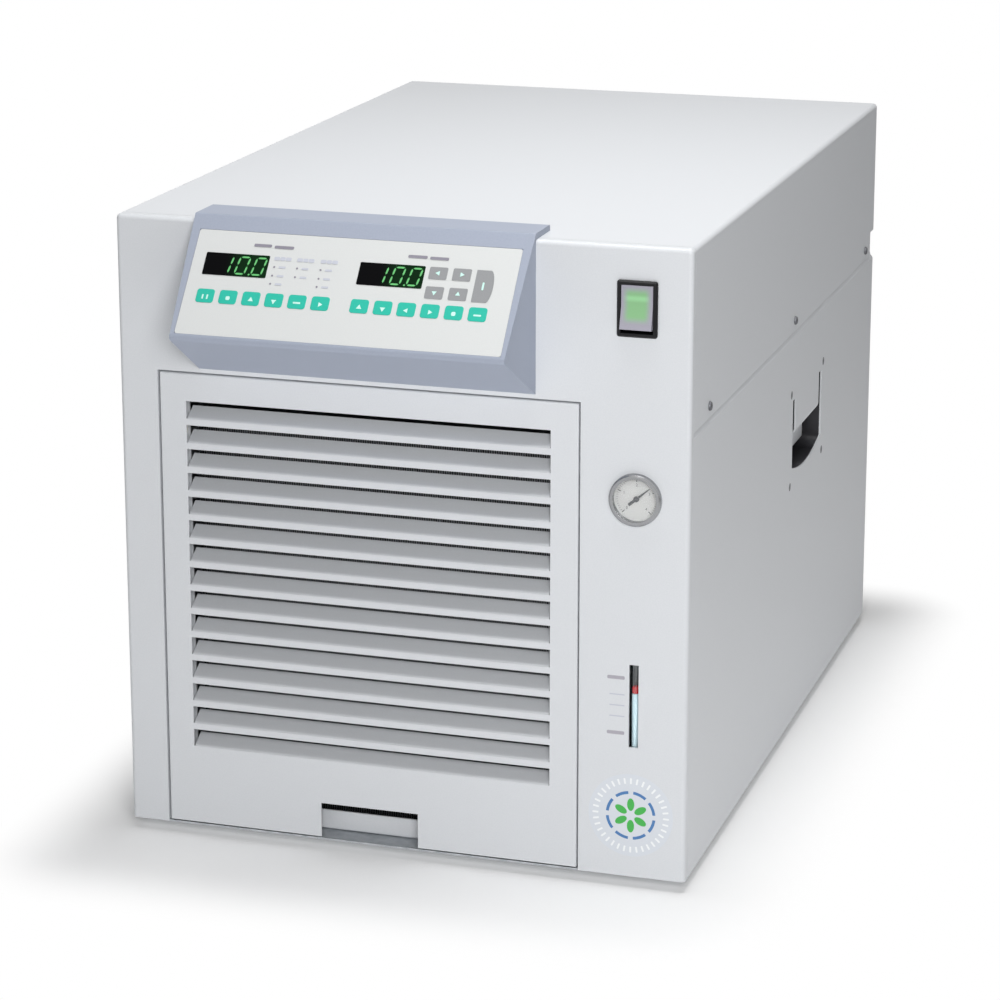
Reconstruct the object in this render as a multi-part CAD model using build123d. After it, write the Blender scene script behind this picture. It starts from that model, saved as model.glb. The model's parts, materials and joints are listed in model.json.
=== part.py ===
from build123d import *
import math
import os

# Recirculating chiller: a free-standing cabinet on four feet with a sloping control console, a pull-off
# louvred grille, and the cooling and pumping gear behind it.
# Everything is laid out from the cabinet's front face (y = 0) and underside (z = 0), in millimetres, with x
# across the cabinet. The finished pieces are moved once, at the end, onto the middle of the floor area.

# Cabinet shell
cabinet_w = 500.0
cabinet_d = 760.0
cabinet_h = 540.0
sheet = 1.5
edge_r = 4.0
seam = 0.6
front_return = 9.0
cover_drop = 153.5
cover_lap = 22.0
lap_clearance = 0.2
rear_recess = 20.0
rear_return = 34.0
corner_notch_h = 24.0
corner_notch_d = 16.0
slot_rows = 12
slot_length = 84.0
slot_width = 7.0
slot_pitch_x = 98.0
slot_pitch_z = 20.0
slot_z0 = 170.0
tray_wall_h = 18.0
sill_back = 20.0
sill_h = 19.5
foot_h = 10.0
foot_r = 19.0
foot_inset = 58.0

# Screws
screw_r = 2.0
screw_head_r = 3.9
screw_head_h = 2.2
screw_length = 11.0
screw_clearance = 0.1

# Grille panel in the front frame's doorway
door_margin_left = 34.6
door_margin_right = 92.7
door_drop = 132.3
door_gap = 1.6
jamb_depth = 20.0
jamb_lip = 21.0
panel_return = 11.0
louvre_pitch = 21.0
louvre_drop = 25.7
louvre_low = 72.0
louvre_margin = 25.35
louvre_flap = 15.4
louvre_angle = 59.0
louvre_bend_r = 3.0
louvre_end_gap = 0.9
finger_notch_w = 88.0
finger_notch_h = 33.3
stud_ball_r = 4.0
stud_neck_r = 2.4
stud_clearance = 0.35
stud_z_low = 64.0
stud_drop = 55.7
clip_wall = 2.0

# Console on the front and top edge
console_margin = 38.35
console_taper = 4.5
console_reach = 74.0
console_apex_drop = 86.0
console_foot_drop = 128.7
console_flange_t = 5.0
console_flange_d = 40.0
console_wall = 3.0
console_edge_r = 4.0
keypad_margin = 8.0
keypad_h = 96.8
keypad_t = 0.8
keypad_recess = 1.0
keypad_drop = 14.7
display_w = 56.0
display_h = 20.6
display_inset_left = 39.1
display_inset_right = 34.0
display_drop = 46.0
board_t = 1.6
board_back = 8.0

# Service column to the right of the grille
service_margin = 45.5
switch_w = 33.7
switch_h = 46.7
switch_drop = 51.3
switch_proud = 3.2
switch_rim = 3.2
switch_depth = 32.0
rocker_gap = 0.5
rocker_tilt = 9.0
rocker_y = 6.0
rocker_pin_r = 1.6
rocker_well = 15.0
gauge_drop = 210.7
gauge_r = 22.2
gauge_proud = 5.0
gauge_case_depth = 24.0
gauge_wall = 1.2
gauge_glass_t = 1.2
spindle_r = 0.8
spindle_clearance = 0.08
dial_y = 3.0
needle_length = 15.0
needle_angle = 40.0
level_slot_w = 8.0
level_slot_z0 = 114.7
level_slot_z1 = 187.0
level_tube_r = 4.5
level_tube_wall = 1.2
level_z = 160.6
float_h = 6.4
float_clearance = 0.3

# Side grips
grip_y = 453.0
grip_w = 127.0
grip_slit = 12.5
grip_drop = 66.0
grip_side_h = 64.5
grip_h = 74.0
grip_lip_drop = 32.5
grip_set_back = 15.5
grip_tongue_drop = 63.5
grip_screw_w = 140.0
grip_screw_drop = 81.1
grip_screw_rise = 6.8
shell_depth = 44.0
shell_wall = 2.5

# Cooling side
coil_margin = 11.35
coil_headroom = 34.5
coil_t = 50.0
coil_y = 46.0
tube_rows = 8
header_r = 6.0
pipe_r = 5.0
shroud_depth = 40.0
fan_side_room = 25.0
fan_top_room = 33.0
fan_gap = 4.0
fan_depth = 38.0
fan_blades = 5
fan_hub_r = 42.0
fan_motor_r = 45.0
fan_motor_depth = 78.0
shaft_r = 4.0
shaft_clearance = 0.06
compressor_x = -110.0
compressor_y = 470.0
compressor_r = 80.0
compressor_h = 222.0
compressor_foot = 78.0
grommet_r = 11.0
grommet_h = 16.0
drier_r = 19.0
drier_length = 120.0
exchanger_offset = 180.5
exchanger_t = 62.0
exchanger_w = 78.0
exchanger_h = 196.0
exchanger_lift = 18.0

# Water side
tank_w = 72.0
tank_y0 = 60.0
tank_y1 = 350.0
tank_h = 232.0
tank_wall = 1.5
pump_z = 82.0
pump_r = 40.0
pump_head_depth = 40.0
pump_motor_depth = 118.0
pump_y = 392.0
hose_r = 9.0
hose_bend = 16.0
port_z = 190.0
port_r = 13.2
port_length = 16.0
port_hex = 36.0
port_hex_t = 9.0
port_pitch = 76.5
drain_offset = 27.5
drain_z = 27.0
drain_r = 6.0
filler_offset = 26.5
filler_z = 332.0
filler_r = 20.0
filler_hose_r = 10.0

# Electrical gear
shelf_drop = 138.0
shelf_y0 = 130.0
shelf_y1 = 585.0
shelf_wall_h = 18.0
control_box_w = 190.0
control_box_d = 210.0
control_box_h = 82.0
inlet_margin = 60.0
inlet_z = 78.0
inlet_w = 30.0
inlet_h = 24.0
socket_z = 128.0

# Places and sizes that follow from the ones above
half_w = cabinet_w / 2
inner_w = half_w - sheet
cover_low = cabinet_h - cover_drop
rear_y = cabinet_d - rear_recess
rear_half = half_w - 2 * sheet - lap_clearance
door_x0 = door_margin_left - half_w
door_x1 = half_w - door_margin_right
door_x = (door_x0 + door_x1) / 2
door_w = door_x1 - door_x0
door_top = cabinet_h - door_drop
stud_z_high = door_top - stud_drop
louvre_top = door_top - louvre_drop
louvre_width = door_w - 2 * louvre_margin
louvre_count = 1 + int((louvre_top - louvre_flap - louvre_low) / louvre_pitch)
console_w = door_w - 2 * console_margin
console_apex_z = cabinet_h - console_apex_drop
console_foot_z = cabinet_h - console_foot_drop
keypad_w = console_w - 2 * keypad_margin
service_x = half_w - service_margin
switch_z = cabinet_h - switch_drop
gauge_z = cabinet_h - gauge_drop
grip_top = cover_low - grip_drop
grip_corner_z = grip_top - grip_side_h
grip_low_z = grip_top - grip_h
grip_lip_z = grip_top - grip_lip_drop
grip_tongue_z = grip_top - grip_tongue_drop
grip_screw_z0 = grip_top - grip_screw_drop
grip_screw_z1 = grip_top + grip_screw_rise
shelf_z = cabinet_h - shelf_drop
coil_w = door_w - 2 * coil_margin
coil_h = shelf_z - coil_headroom - sheet
fan_r = min(coil_w / 2 - fan_side_room, coil_h / 2 - fan_top_room)
exchanger_x0 = service_x - exchanger_offset
supply_x = service_x - port_pitch
drain_x = service_x + drain_offset
filler_x = service_x - filler_offset
inlet_x = inlet_margin - half_w
socket_x = inlet_x


def block(x, y, z):
    """A block between a pair of limits along each axis."""
    middle = Pos((x[0] + x[1]) / 2, (y[0] + y[1]) / 2, (z[0] + z[1]) / 2)
    return middle * Box(x[1] - x[0], y[1] - y[0], z[1] - z[0])


def rod_x(r, x, y, z):
    """A round bar along x between two limits."""
    return Pos((x[0] + x[1]) / 2, y, z) * Rot(0, 90, 0) * Cylinder(r, x[1] - x[0])


def rod_y(r, x, y, z):
    """A round bar along y between two limits."""
    return Pos(x, (y[0] + y[1]) / 2, z) * Rot(90, 0, 0) * Cylinder(r, y[1] - y[0])


def rod_z(r, x, y, z):
    """A round bar along z between two limits."""
    return Pos(x, y, (z[0] + z[1]) / 2) * Cylinder(r, z[1] - z[0])


def plate_xz(outline, y):
    """An outline drawn in x and z, given thickness between two y limits."""
    return extrude(Plane.XZ.offset(-y[1]) * outline, amount=y[1] - y[0])


def plate_yz(outline, x):
    """An outline drawn in y and z, given thickness between two x limits."""
    return extrude(Plane.YZ.offset(x[0]) * outline, amount=x[1] - x[0])


def folded(points, bend_r):
    """The section of a folded sheet that follows a middle line."""
    return trace(FilletPolyline(*points, radius=bend_r), line_width=sheet)


def tube(points, r, bend_r):
    """A pipe or hose along straight runs joined by tangent arcs."""
    line = FilletPolyline(*points, radius=bend_r)
    return sweep(Plane(origin=line @ 0, z_dir=line % 0) * Circle(r), path=line)


def turned_y(points, x, z):
    """A turned piece about an axis along y, from a profile of (radius, y) points."""
    profile = make_face(Polyline(*[(r, y) for r, y in points], close=True))
    return Pos(x, 0, z) * revolve(profile, axis=Axis.Y)


def turned_z(points, x, y):
    """A turned piece about an upright axis, from a profile of (radius, z) points."""
    profile = make_face(Polyline(*[(r, z) for r, z in points], close=True))
    return Pos(x, y, 0) * revolve(Plane.XZ * profile, axis=Axis.Z)


def hexagon_y(across, x, y, z):
    """A hexagonal collar about an axis along y."""
    return plate_xz(Pos(x, z) * RegularPolygon(across / math.sqrt(3), 6), y)


def folded_pan(half, depth, z):
    """A front sheet with its side and top edges folded back, open behind and below."""
    outer = block((-half, half), (0, depth), z)
    corner = outer.edges().filter_by(Axis.Z).filter_by_position(Axis.Y, -1, 1)
    corner += outer.edges().filter_by(Axis.X).filter_by_position(Axis.Y, -1, 1).sort_by(Axis.Z)[-1:]
    corner += outer.edges().filter_by(Axis.Y).group_by(Axis.Z)[-1]
    outer = fillet(corner, edge_r)
    inner = block((sheet - half, half - sheet), (sheet, depth + edge_r), (z[0] - edge_r, z[1] - sheet))
    corner = inner.edges().filter_by(Axis.Z).group_by(Axis.Y)[0]
    corner += inner.edges().filter_by(Axis.X).group_by(Axis.Y)[0].sort_by(Axis.Z)[-1:]
    corner += inner.edges().filter_by(Axis.Y).group_by(Axis.Z)[-1]
    inner = fillet(corner, edge_r - sheet)
    return outer - inner


# Cabinet panels

def stud_places():
    """Where the grille's four ball studs stand, in x and z."""
    inset = jamb_lip / 2
    return [(x, z) for x in (door_x0 + inset, door_x1 - inset) for z in (stud_z_low, stud_z_high)]


clip_hole_r = stud_ball_r + stud_clearance + clip_wall


def front_frame():
    frame = folded_pan(half_w, front_return, (0, cabinet_h))
    frame -= block((door_x0, door_x1), (-1, front_return), (-1, door_top))
    jamb = block((door_x0 - sheet, door_x1 + sheet), (sheet, jamb_depth), (sheet, door_top + sheet))
    jamb -= block((door_x0, door_x1), (0, jamb_depth - sheet), (0, door_top))
    doorway = (door_x0 + jamb_lip, door_x1 - jamb_lip)
    jamb -= block(doorway, (0, jamb_depth + 1), (0, door_top - jamb_lip))
    frame += jamb
    for x, z in stud_places():
        frame -= rod_y(clip_hole_r, x, (jamb_depth - 2 * sheet, jamb_depth + 1), z)
    body_w, body_h = switch_body_size()
    frame -= block((service_x - body_w / 2 - 0.2, service_x + body_w / 2 + 0.2), (-1, sheet + 1),
                   (switch_z - body_h / 2 - 0.2, switch_z + body_h / 2 + 0.2))
    frame -= rod_y(gauge_case_r + 0.3, service_x, (-1, sheet + 1), gauge_z)
    frame -= block((service_x - level_slot_w / 2, service_x + level_slot_w / 2), (-1, sheet + 1),
                   (level_slot_z0, level_slot_z1))
    return frame


def base_tray():
    tray = block((-inner_w, inner_w), (sheet, rear_y), (0, sheet))
    tray = fillet(tray.edges().filter_by(Axis.Z).group_by(Axis.Y)[0], edge_r)
    tray += block((door_x0, door_x1), (0, 2 * sheet), (0, sheet))
    wall_z = (sheet / 2, tray_wall_h)
    back = rear_y - sheet
    for side in (-1, 1):
        edge = sorted((side * inner_w, side * (inner_w - sheet)))
        tray += block(edge, (jamb_depth + sheet, back - rear_return - seam), wall_z)
    tray += block((-inner_w + sheet, inner_w - sheet), (back - sheet, back), wall_z)
    for x in rear_screw_xs():
        tray -= rod_y(screw_r + screw_clearance, x, (back - 2 * sheet, back + 1), rear_screw_z)
    return tray


def sill_rail():
    """The upright drip rail behind the finger notch, an angle spot-welded to the tray."""
    middle = sill_back + sheet / 2
    points = ((middle, sill_h), (middle, 1.5 * sheet), (middle + 14, 1.5 * sheet))
    edge = door_x0 - sheet
    return plate_yz(folded(points, 2.0), (edge, door_x1 + sheet))


def rubber_feet():
    profile = ((0, -foot_h), (foot_r - 3, -foot_h), (foot_r - 1, 2 - foot_h), (foot_r, 0), (0, 0))
    foot_x = half_w - foot_inset
    foot_ys = (foot_inset, rear_y - foot_inset)
    return Compound([turned_z(profile, x, y) for x in (-foot_x, foot_x) for y in foot_ys])


def cover_screw_ys():
    """The three screws along each lower edge of the cover."""
    first = front_return + 52.5
    last = rear_y - rear_return + 12.0
    return [first, (first + last) / 2, last]


cover_screw_z = cover_low + 10.0
rear_screw_z = tray_wall_h / 2 + 1.5


def rear_screw_xs():
    """Four screws along the rear panel's foot."""
    return [-half_w * 0.84, -half_w * 0.28, half_w * 0.28, half_w * 0.84]


def top_cover():
    line = half_w - sheet / 2
    top = cabinet_h - sheet / 2
    points = ((-line, cover_low), (-line, top), (line, top), (line, cover_low))
    cover = plate_xz(folded(points, edge_r - sheet / 2), (front_return + seam, cabinet_d))
    cover -= block((-half_w - 1, half_w + 1), (cabinet_d - corner_notch_d, cabinet_d + 1),
                   (cover_low - 1, cover_low + corner_notch_h))
    for y in cover_screw_ys():
        cover -= rod_x(screw_r + screw_clearance, (-half_w - 1, half_w + 1), y, cover_screw_z)
    return cover


def grip_opening():
    """The side opening in y and z: straight sides and a bottom edge that sags to the middle."""
    half = grip_w / 2
    left = (grip_y - half, grip_corner_z)
    right = (grip_y + half, grip_corner_z)
    edge = Polyline(left, (grip_y - half, grip_top), (grip_y + half, grip_top), right)
    edge += ThreePointArc(right, (grip_y, grip_low_z), left)
    return make_face(edge)


def side_panel(side):
    line = half_w - sheet / 2
    lap = line - sheet - lap_clearance
    low = cover_low - seam
    points = ((line, 0), (line, low - 5), (lap, low - 1.5), (lap, cover_low + cover_lap))
    panel = plate_xz(folded(points, 1.6), (front_return + seam, cabinet_d))
    corner_y = cabinet_d - corner_notch_d - 1
    corner = Polyline((corner_y, cover_low + 11), (cabinet_d, cover_low - 4), (cabinet_d + 1, cabinet_h),
                      (corner_y, cabinet_h), close=True)
    panel -= plate_yz(make_face(corner), (inner_w - 4, half_w + 1))
    panel -= plate_yz(grip_opening(), (inner_w - 1, half_w + 1))
    tongue_half = grip_w / 2 - grip_slit
    deep = line - grip_set_back
    step = grip_lip_z - grip_set_back * 0.71
    tongue = ((line, grip_top + 1), (line, grip_lip_z), (deep, step), (deep, grip_tongue_z))
    panel += plate_xz(folded(tongue, 7.0), (grip_y - tongue_half, grip_y + tongue_half))
    for y, z in grip_screw_places():
        panel -= rod_x(screw_r + screw_clearance, (inner_w - 1, half_w + 1), y, z)
        panel -= Pos(half_w, y, z) * Rot(0, -90, 0) * countersink(screw_clearance)
    for y in cover_screw_ys():
        panel -= rod_x(screw_r + screw_clearance, (inner_w - 6, half_w), y, cover_screw_z)
    return panel if side > 0 else mirror(panel, about=Plane.YZ)


def countersink(spare):
    """The cone of a flush screw head, its wide face at the origin and its point along +z."""
    head = screw_head_r + spare
    return Pos(0, 0, screw_head_h / 2) * Cone(head, screw_r + spare, screw_head_h)


def grip_screw_places():
    """The four corner screws of a side grip, in y and z."""
    half = grip_screw_w / 2
    return [(y, z) for y in (grip_y - half, grip_y + half) for z in (grip_screw_z0, grip_screw_z1)]


def exhaust_slots():
    """Rows of slots in the rear panel behind the fan."""
    slots = Sketch()
    for row in range(slot_rows):
        for column in (-1, 0, 1):
            place = Pos(door_x + column * slot_pitch_x, slot_z0 + row * slot_pitch_z)
            slots += place * SlotOverall(slot_length, slot_width)
    return slots


def rear_panel():
    """The recessed rear wall, folded forward along its sides and top."""
    back = rear_y - rear_return
    top = cabinet_h - sheet
    panel = block((-rear_half, rear_half), (back, rear_y), (sheet, top))
    panel = fillet(panel.edges().filter_by(Axis.Y).group_by(Axis.Z)[-1], edge_r)
    inner = block((sheet - rear_half, rear_half - sheet), (back - 1, rear_y - sheet), (0, top - sheet))
    panel -= fillet(inner.edges().filter_by(Axis.Y).group_by(Axis.Z)[-1], edge_r - sheet)
    panel -= block((-half_w, half_w), (back - 1, rear_y - sheet), (0, tray_wall_h + seam))
    panel -= plate_xz(exhaust_slots(), (rear_y - sheet - 1, rear_y + 1))
    for x in (supply_x, service_x):
        panel -= rod_y(port_neck_r, x, (rear_y - sheet - 1, rear_y + 1), port_z)
    panel -= rod_y(drain_r + 0.3, drain_x, (rear_y - sheet - 1, rear_y + 1), drain_z)
    panel -= rod_y(filler_hose_r + 0.3, filler_x, (rear_y - sheet - 1, rear_y + 1), filler_z)
    panel -= block((inlet_x - inlet_w / 2 - 0.2, inlet_x + inlet_w / 2 + 0.2), (rear_y - 4, rear_y + 1),
                   (inlet_z - inlet_h / 2 - 0.2, inlet_z + inlet_h / 2 + 0.2))
    panel -= plate_xz(Pos(socket_x, socket_z) * socket_outline(0.2), (rear_y - 4, rear_y + 1))
    for x in rear_screw_xs():
        panel -= rod_y(screw_r + screw_clearance, x, (rear_y - 4, rear_y + 1), rear_screw_z)
    for y in cover_screw_ys()[-1:]:
        panel -= rod_x(screw_r + screw_clearance, (-half_w, half_w), y, cover_screw_z)
    return panel


def pan_screw():
    """A pan-head screw, its head's seat at the origin, pointing along +z."""
    head = (screw_head_r, screw_head_h)
    end = screw_length - screw_head_h
    profile = ((0, -head[1]), (head[0] * 0.55, -head[1]), (head[0] * 0.9, -head[1] * 0.6), (head[0], 0),
               (screw_r, 0), (screw_r, end), (0, end))
    return turned_z(profile, 0, 0)


def flush_screw():
    """A countersunk screw, its head's face at the origin, pointing along +z."""
    shank = Pos(0, 0, (screw_head_h + screw_length) / 2) * Cylinder(screw_r, screw_length - screw_head_h)
    return countersink(0) + shank


def cover_screws():
    screws = []
    for side in (-1, 1):
        for y in cover_screw_ys():
            screws.append(Pos(side * half_w, y, cover_screw_z) * Rot(0, -90 * side, 0) * pan_screw())
    return Compound(screws)


def rear_screws():
    places = [Pos(x, rear_y, rear_screw_z) for x in rear_screw_xs()]
    return Compound([place * Rot(90, 0, 0) * pan_screw() for place in places])


def handle_screws():
    screws = []
    for side in (-1, 1):
        for y, z in grip_screw_places():
            screws.append(Pos(side * half_w, y, z) * Rot(0, -90 * side, 0) * flush_screw())
    return Compound(screws)


def handle_shell(side):
    """The moulded pocket screwed behind a side opening."""
    mouth_w = grip_w + 3.0
    low = grip_low_z - 3.0
    mouth_h = grip_top - low + 2.0
    middle_z = low + mouth_h / 2
    corner = 12.0
    face = inner_w
    flange_half = grip_screw_w / 2 + 8.0
    flange = Pos(grip_y, (grip_screw_z0 + grip_screw_z1) / 2) * RectangleRounded(
        2 * flange_half, grip_screw_z1 - grip_screw_z0 + 16.0, 6.0)
    shell = plate_yz(flange, (face - shell_wall, face))
    outer = RectangleRounded(mouth_w + 2 * shell_wall, mouth_h + 2 * shell_wall, corner + shell_wall)
    shell += plate_yz(Pos(grip_y, middle_z) * outer, (face - shell_depth, face - shell_wall))
    inner = Pos(grip_y, middle_z) * RectangleRounded(mouth_w, mouth_h, corner)
    shell -= plate_yz(inner, (face - shell_depth + shell_wall, face + 1))
    for y, z in grip_screw_places():
        shell += rod_x(screw_r + 2.6, (face - screw_length, face - shell_wall), y, z)
        shell -= rod_x(screw_r + screw_clearance, (face - screw_length - 1, face + 1), y, z)
        shell -= Pos(half_w, y, z) * Rot(0, -90, 0) * countersink(screw_clearance)
    return shell if side > 0 else mirror(shell, about=Plane.YZ)


def louvre_flap_solid(z_hinge):
    """One louvre's flap, pressed inwards from the web below it."""
    angle = math.radians(louvre_angle)
    line = sheet / 2
    tip = (line + louvre_flap * math.sin(angle), z_hinge + louvre_flap * math.cos(angle))
    section = folded(((line, z_hinge - louvre_bend_r), (line, z_hinge), tip), louvre_bend_r)
    half = louvre_width / 2 - louvre_end_gap
    return plate_yz(section, (door_x - half, door_x + half))


def grille_panel():
    """The pull-off grille: a folded panel with inward-pressed louvres and a finger notch."""
    half = (door_x1 - door_x0) / 2 - door_gap
    low = sheet + 1.0
    panel = folded_pan_door(half, (low, door_top - door_gap))
    for i in range(louvre_count):
        top = louvre_top - i * louvre_pitch
        panel -= block((door_x - louvre_width / 2, door_x + louvre_width / 2), (-1, sheet + 1),
                       (top - louvre_flap, top))
        panel += louvre_flap_solid(top - louvre_flap)
    panel -= block((door_x - finger_notch_w / 2, door_x + finger_notch_w / 2), (-1, sheet + 1),
                   (low - 1, finger_notch_h))
    return panel


def folded_pan_door(half, z):
    """The grille's sheet with its two sides and top folded back."""
    x = (door_x - half, door_x + half)
    panel = block(x, (0, panel_return), z)
    front = panel.faces().sort_by(Axis.Y)[0].edges().sort_by(Axis.Z)[1:]
    panel = fillet(front, sheet)
    inner = block((x[0] + sheet, x[1] - sheet), (sheet, panel_return + 1), (z[0] - 1, z[1] - sheet))
    return panel - inner


def grille_studs():
    """Ball studs welded to the inside of the grille panel's margins."""
    ball_y = jamb_depth + 4.0
    studs = []
    for x, z in stud_places():
        stud = rod_y(stud_neck_r, x, (sheet, ball_y), z)
        stud += rod_y(stud_neck_r + 1.6, x, (sheet, sheet + 1.6), z)
        stud += Pos(x, ball_y, z) * Sphere(stud_ball_r)
        studs.append(stud)
    return Compound(studs)


def grille_clips():
    """Nylon bushes in the doorway's lips that grip the ball studs."""
    bore = stud_ball_r + stud_clearance
    front = jamb_depth - sheet - 1.2
    clips = []
    for x, z in stud_places():
        clip = rod_y(clip_hole_r + 2.0, x, (front, jamb_depth - sheet), z)
        clip += rod_y(clip_hole_r - 0.1, x, (jamb_depth - sheet, jamb_depth + 9.0), z)
        clip -= rod_y(bore, x, (front - 1, jamb_depth + 10.0), z)
        clips.append(clip)
    return Compound(clips)


# Console

console_top = cabinet_h + console_flange_t
slope_length = math.hypot(console_reach, console_top - console_apex_z)
slope_y = console_reach / slope_length
slope_z = (console_top - console_apex_z) / slope_length
slope = Plane(origin=(door_x, 0, console_top), x_dir=(1, 0, 0), z_dir=(0, -slope_z, slope_y))


def console_outline(y):
    """The console seen from above: it narrows a little towards the viewer."""
    half = console_w / 2
    near = half - console_taper
    out = -console_reach
    points = ((-half, y), (half, y), (half, 0), (near, out), (-near, out), (-half, 0))
    return Pos(door_x, 0) * make_face(Polyline(*points, close=True))


def console_section(inset):
    """The console seen from the side, set in by a wall."""
    top = (0, console_top)
    apex = (-console_reach, console_apex_z)
    foot = (0, console_foot_z)
    face = make_face(Polyline(top, apex, foot, close=True))
    if inset:
        face = offset(face, amount=-inset, kind=Kind.INTERSECTION)
    return face


def console_housing():
    """The sloping front, its top flange and its triangular ends, open at the back towards the cabinet."""
    span = (door_x - console_w / 2, door_x + console_w / 2)
    solid = plate_yz(console_section(0), span)
    solid += block(span, (0, console_flange_d), (cabinet_h, console_top))
    solid &= extrude(console_outline(console_flange_d), amount=console_top)
    apex = solid.edges().filter_by(Axis.X).sort_by(Axis.Y)[:1]
    solid = fillet(apex, console_edge_r)
    ends = solid.edges().filter_by(Axis.X).group_by(Axis.Z)[-1]
    solid = fillet(ends, console_edge_r / 2)
    wall = console_wall
    narrow = console_w / 2 - console_taper - wall
    inside = (door_x - narrow, door_x + narrow)
    solid -= plate_yz(console_section(wall), inside)
    solid -= block(inside, (-2.5 * wall, 0), (console_foot_z + 3.5 * wall, cabinet_h - 4 * wall))
    middle = slope * Pos(0, -keypad_drop - keypad_h / 2, -keypad_recess / 2)
    solid -= middle * Box(keypad_w + 0.4, keypad_h + 0.4, keypad_recess)
    for x, y in display_places():
        solid -= slope * Pos(x, y, -console_wall / 2) * Box(display_w, display_h, 3 * console_wall)
    return solid


def display_places():
    """The middles of the two number displays, one in each half of the film."""
    return [(display_inset_left - keypad_w / 2, -display_drop), (display_inset_right, -display_drop)]


def keypad_membrane():
    place = slope * Pos(0, -keypad_drop - keypad_h / 2, -keypad_recess + keypad_t / 2)
    film = place * Box(keypad_w, keypad_h, keypad_t)
    corners = film.edges().filter_by(lambda e: abs(e.length - keypad_t) < 1e-6)
    return fillet(corners, 2.0)


def display_modules():
    """Two number displays that stand on the board and fill the windows behind the film."""
    depth = board_back - keypad_recess
    modules = []
    for x, y in display_places():
        place = slope * Pos(x, y, -keypad_recess - depth / 2)
        modules.append(place * Box(display_w - 0.6, display_h - 0.6, depth))
    return Compound(modules)


def control_board():
    board_z = -board_back - board_t / 2
    middle_y = -keypad_drop - keypad_h * 0.42
    board = slope * Pos(0, middle_y, board_z) * Box(keypad_w - 26, keypad_h - 36, board_t)
    chip = (34.0, 14.0, 4.0)
    for share in (-0.25, 0.07, 0.3):
        board += slope * Pos(share * keypad_w, middle_y - 6, -board_back - board_t - chip[2] / 2) * Box(*chip)
    for x in (-1, 1):
        for y in (-1, 1):
            post_x = x * (keypad_w - 34) / 2
            post_y = middle_y + y * (keypad_h - 44) / 2
            length = board_back - console_wall
            board += slope * Pos(post_x, post_y, -console_wall - length / 2) * Cylinder(3.0, length)
    return board


# Service column

def switch_body_size():
    """The snap-in body behind the switch's rim."""
    return switch_w - 2 * switch_rim + 2.0, switch_h - 2 * switch_rim + 2.0


def switch_body():
    body_w, body_h = switch_body_size()
    place = Pos(service_x, switch_z)
    rim = plate_xz(place * RectangleRounded(switch_w, switch_h, 2.0), (-switch_proud, 0))
    front = rim.faces().sort_by(Axis.Y)[0]
    rim = chamfer(front.edges(), 1.2)
    rim += plate_xz(place * Rectangle(body_w, body_h), (-0.5, switch_depth))
    well_w = switch_w - 2 * switch_rim
    well_h = switch_h - 2 * switch_rim
    rim -= plate_xz(place * Rectangle(well_w, well_h), (-switch_proud - 1, rocker_well))
    reach = body_w / 2 - 0.5
    rim += rod_x(rocker_pin_r, (service_x - reach, service_x + reach), rocker_y, switch_z)
    for x in (-8.0, 8.0):
        for z in (-12.0, 0.0, 12.0):
            lug = block((service_x + x - 3, service_x + x + 3), (switch_depth, switch_depth + 9),
                        (switch_z + z - 0.4, switch_z + z + 0.4))
            rim += lug
    return rim


def switch_rocker():
    """The rocker, at rest with its upper end pressed in."""
    half_x = (switch_w - 2 * switch_rim) / 2 - rocker_gap
    half_z = (switch_h - 2 * switch_rim) / 2 - rocker_gap - 1.4
    out = -switch_proud - rocker_y
    tip = half_z * 0.985
    points = ((out - 2.4, tip), (out + 0.2, 0), (out - 2.4, -tip), (out + 4.4, -half_z), (0.5, -6.0),
              (4.0, -4.0), (4.0, 4.0), (0.5, 6.0), (out + 4.4, half_z))
    profile = make_face(Polyline(*points, close=True))
    rocker = extrude(Plane.YZ.offset(-half_x) * profile, amount=2 * half_x)
    rocker -= rod_x(rocker_pin_r + spindle_clearance, (-half_x - 1, half_x + 1), 0, 0)
    return Pos(service_x, rocker_y, switch_z) * Rot(-rocker_tilt, 0, 0) * rocker


gauge_case_r = gauge_r - 1.7
gauge_seat_y = 1.6 - gauge_proud


def gauge_case():
    """The pressed cup with its rear socket."""
    r = gauge_case_r
    depth = gauge_case_depth
    wall = gauge_wall
    front = gauge_seat_y + gauge_glass_t
    bore = r - wall
    profile = ((0, depth), (0, depth - wall), (bore, depth - wall), (bore, front), (r, front), (r, depth))
    case = turned_y(profile, service_x, gauge_z)
    case += rod_y(6.5, service_x, (depth, depth + 14), gauge_z)
    case += rod_y(4.5, service_x, (depth + 14, depth + 26), gauge_z)
    case -= rod_y(spindle_r + spindle_clearance, service_x, (depth - wall - 1, depth + 5), gauge_z)
    return case


def gauge_bezel():
    """The bright ring that clamps the glass."""
    front = -gauge_proud
    r = gauge_r
    inner = gauge_case_r - 2.2
    bore = gauge_case_r + 0.1
    profile = ((inner, front), (r - 1.4, front), (r - 0.3, front + 1.0), (r, front + 2.4), (r, 0), (bore, 0),
               (bore, gauge_seat_y), (inner, gauge_seat_y))
    return turned_y(profile, service_x, gauge_z)


def gauge_glass():
    """The flat window, held between the bezel's lip and the case's rim."""
    return rod_y(gauge_case_r - 0.1, service_x, (gauge_seat_y, gauge_seat_y + gauge_glass_t), gauge_z)


def gauge_dial():
    r = gauge_case_r - gauge_wall - 0.1
    hole = spindle_r + spindle_clearance
    profile = ((hole, dial_y), (r, dial_y), (r, dial_y + 0.8), (hole, dial_y + 0.8))
    dial = turned_y(profile, service_x, gauge_z)
    for x in (-1, 1):
        dial += rod_y(1.5, service_x + x * 11.0, (dial_y + 0.8, gauge_case_depth - gauge_wall), gauge_z)
    return dial


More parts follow.
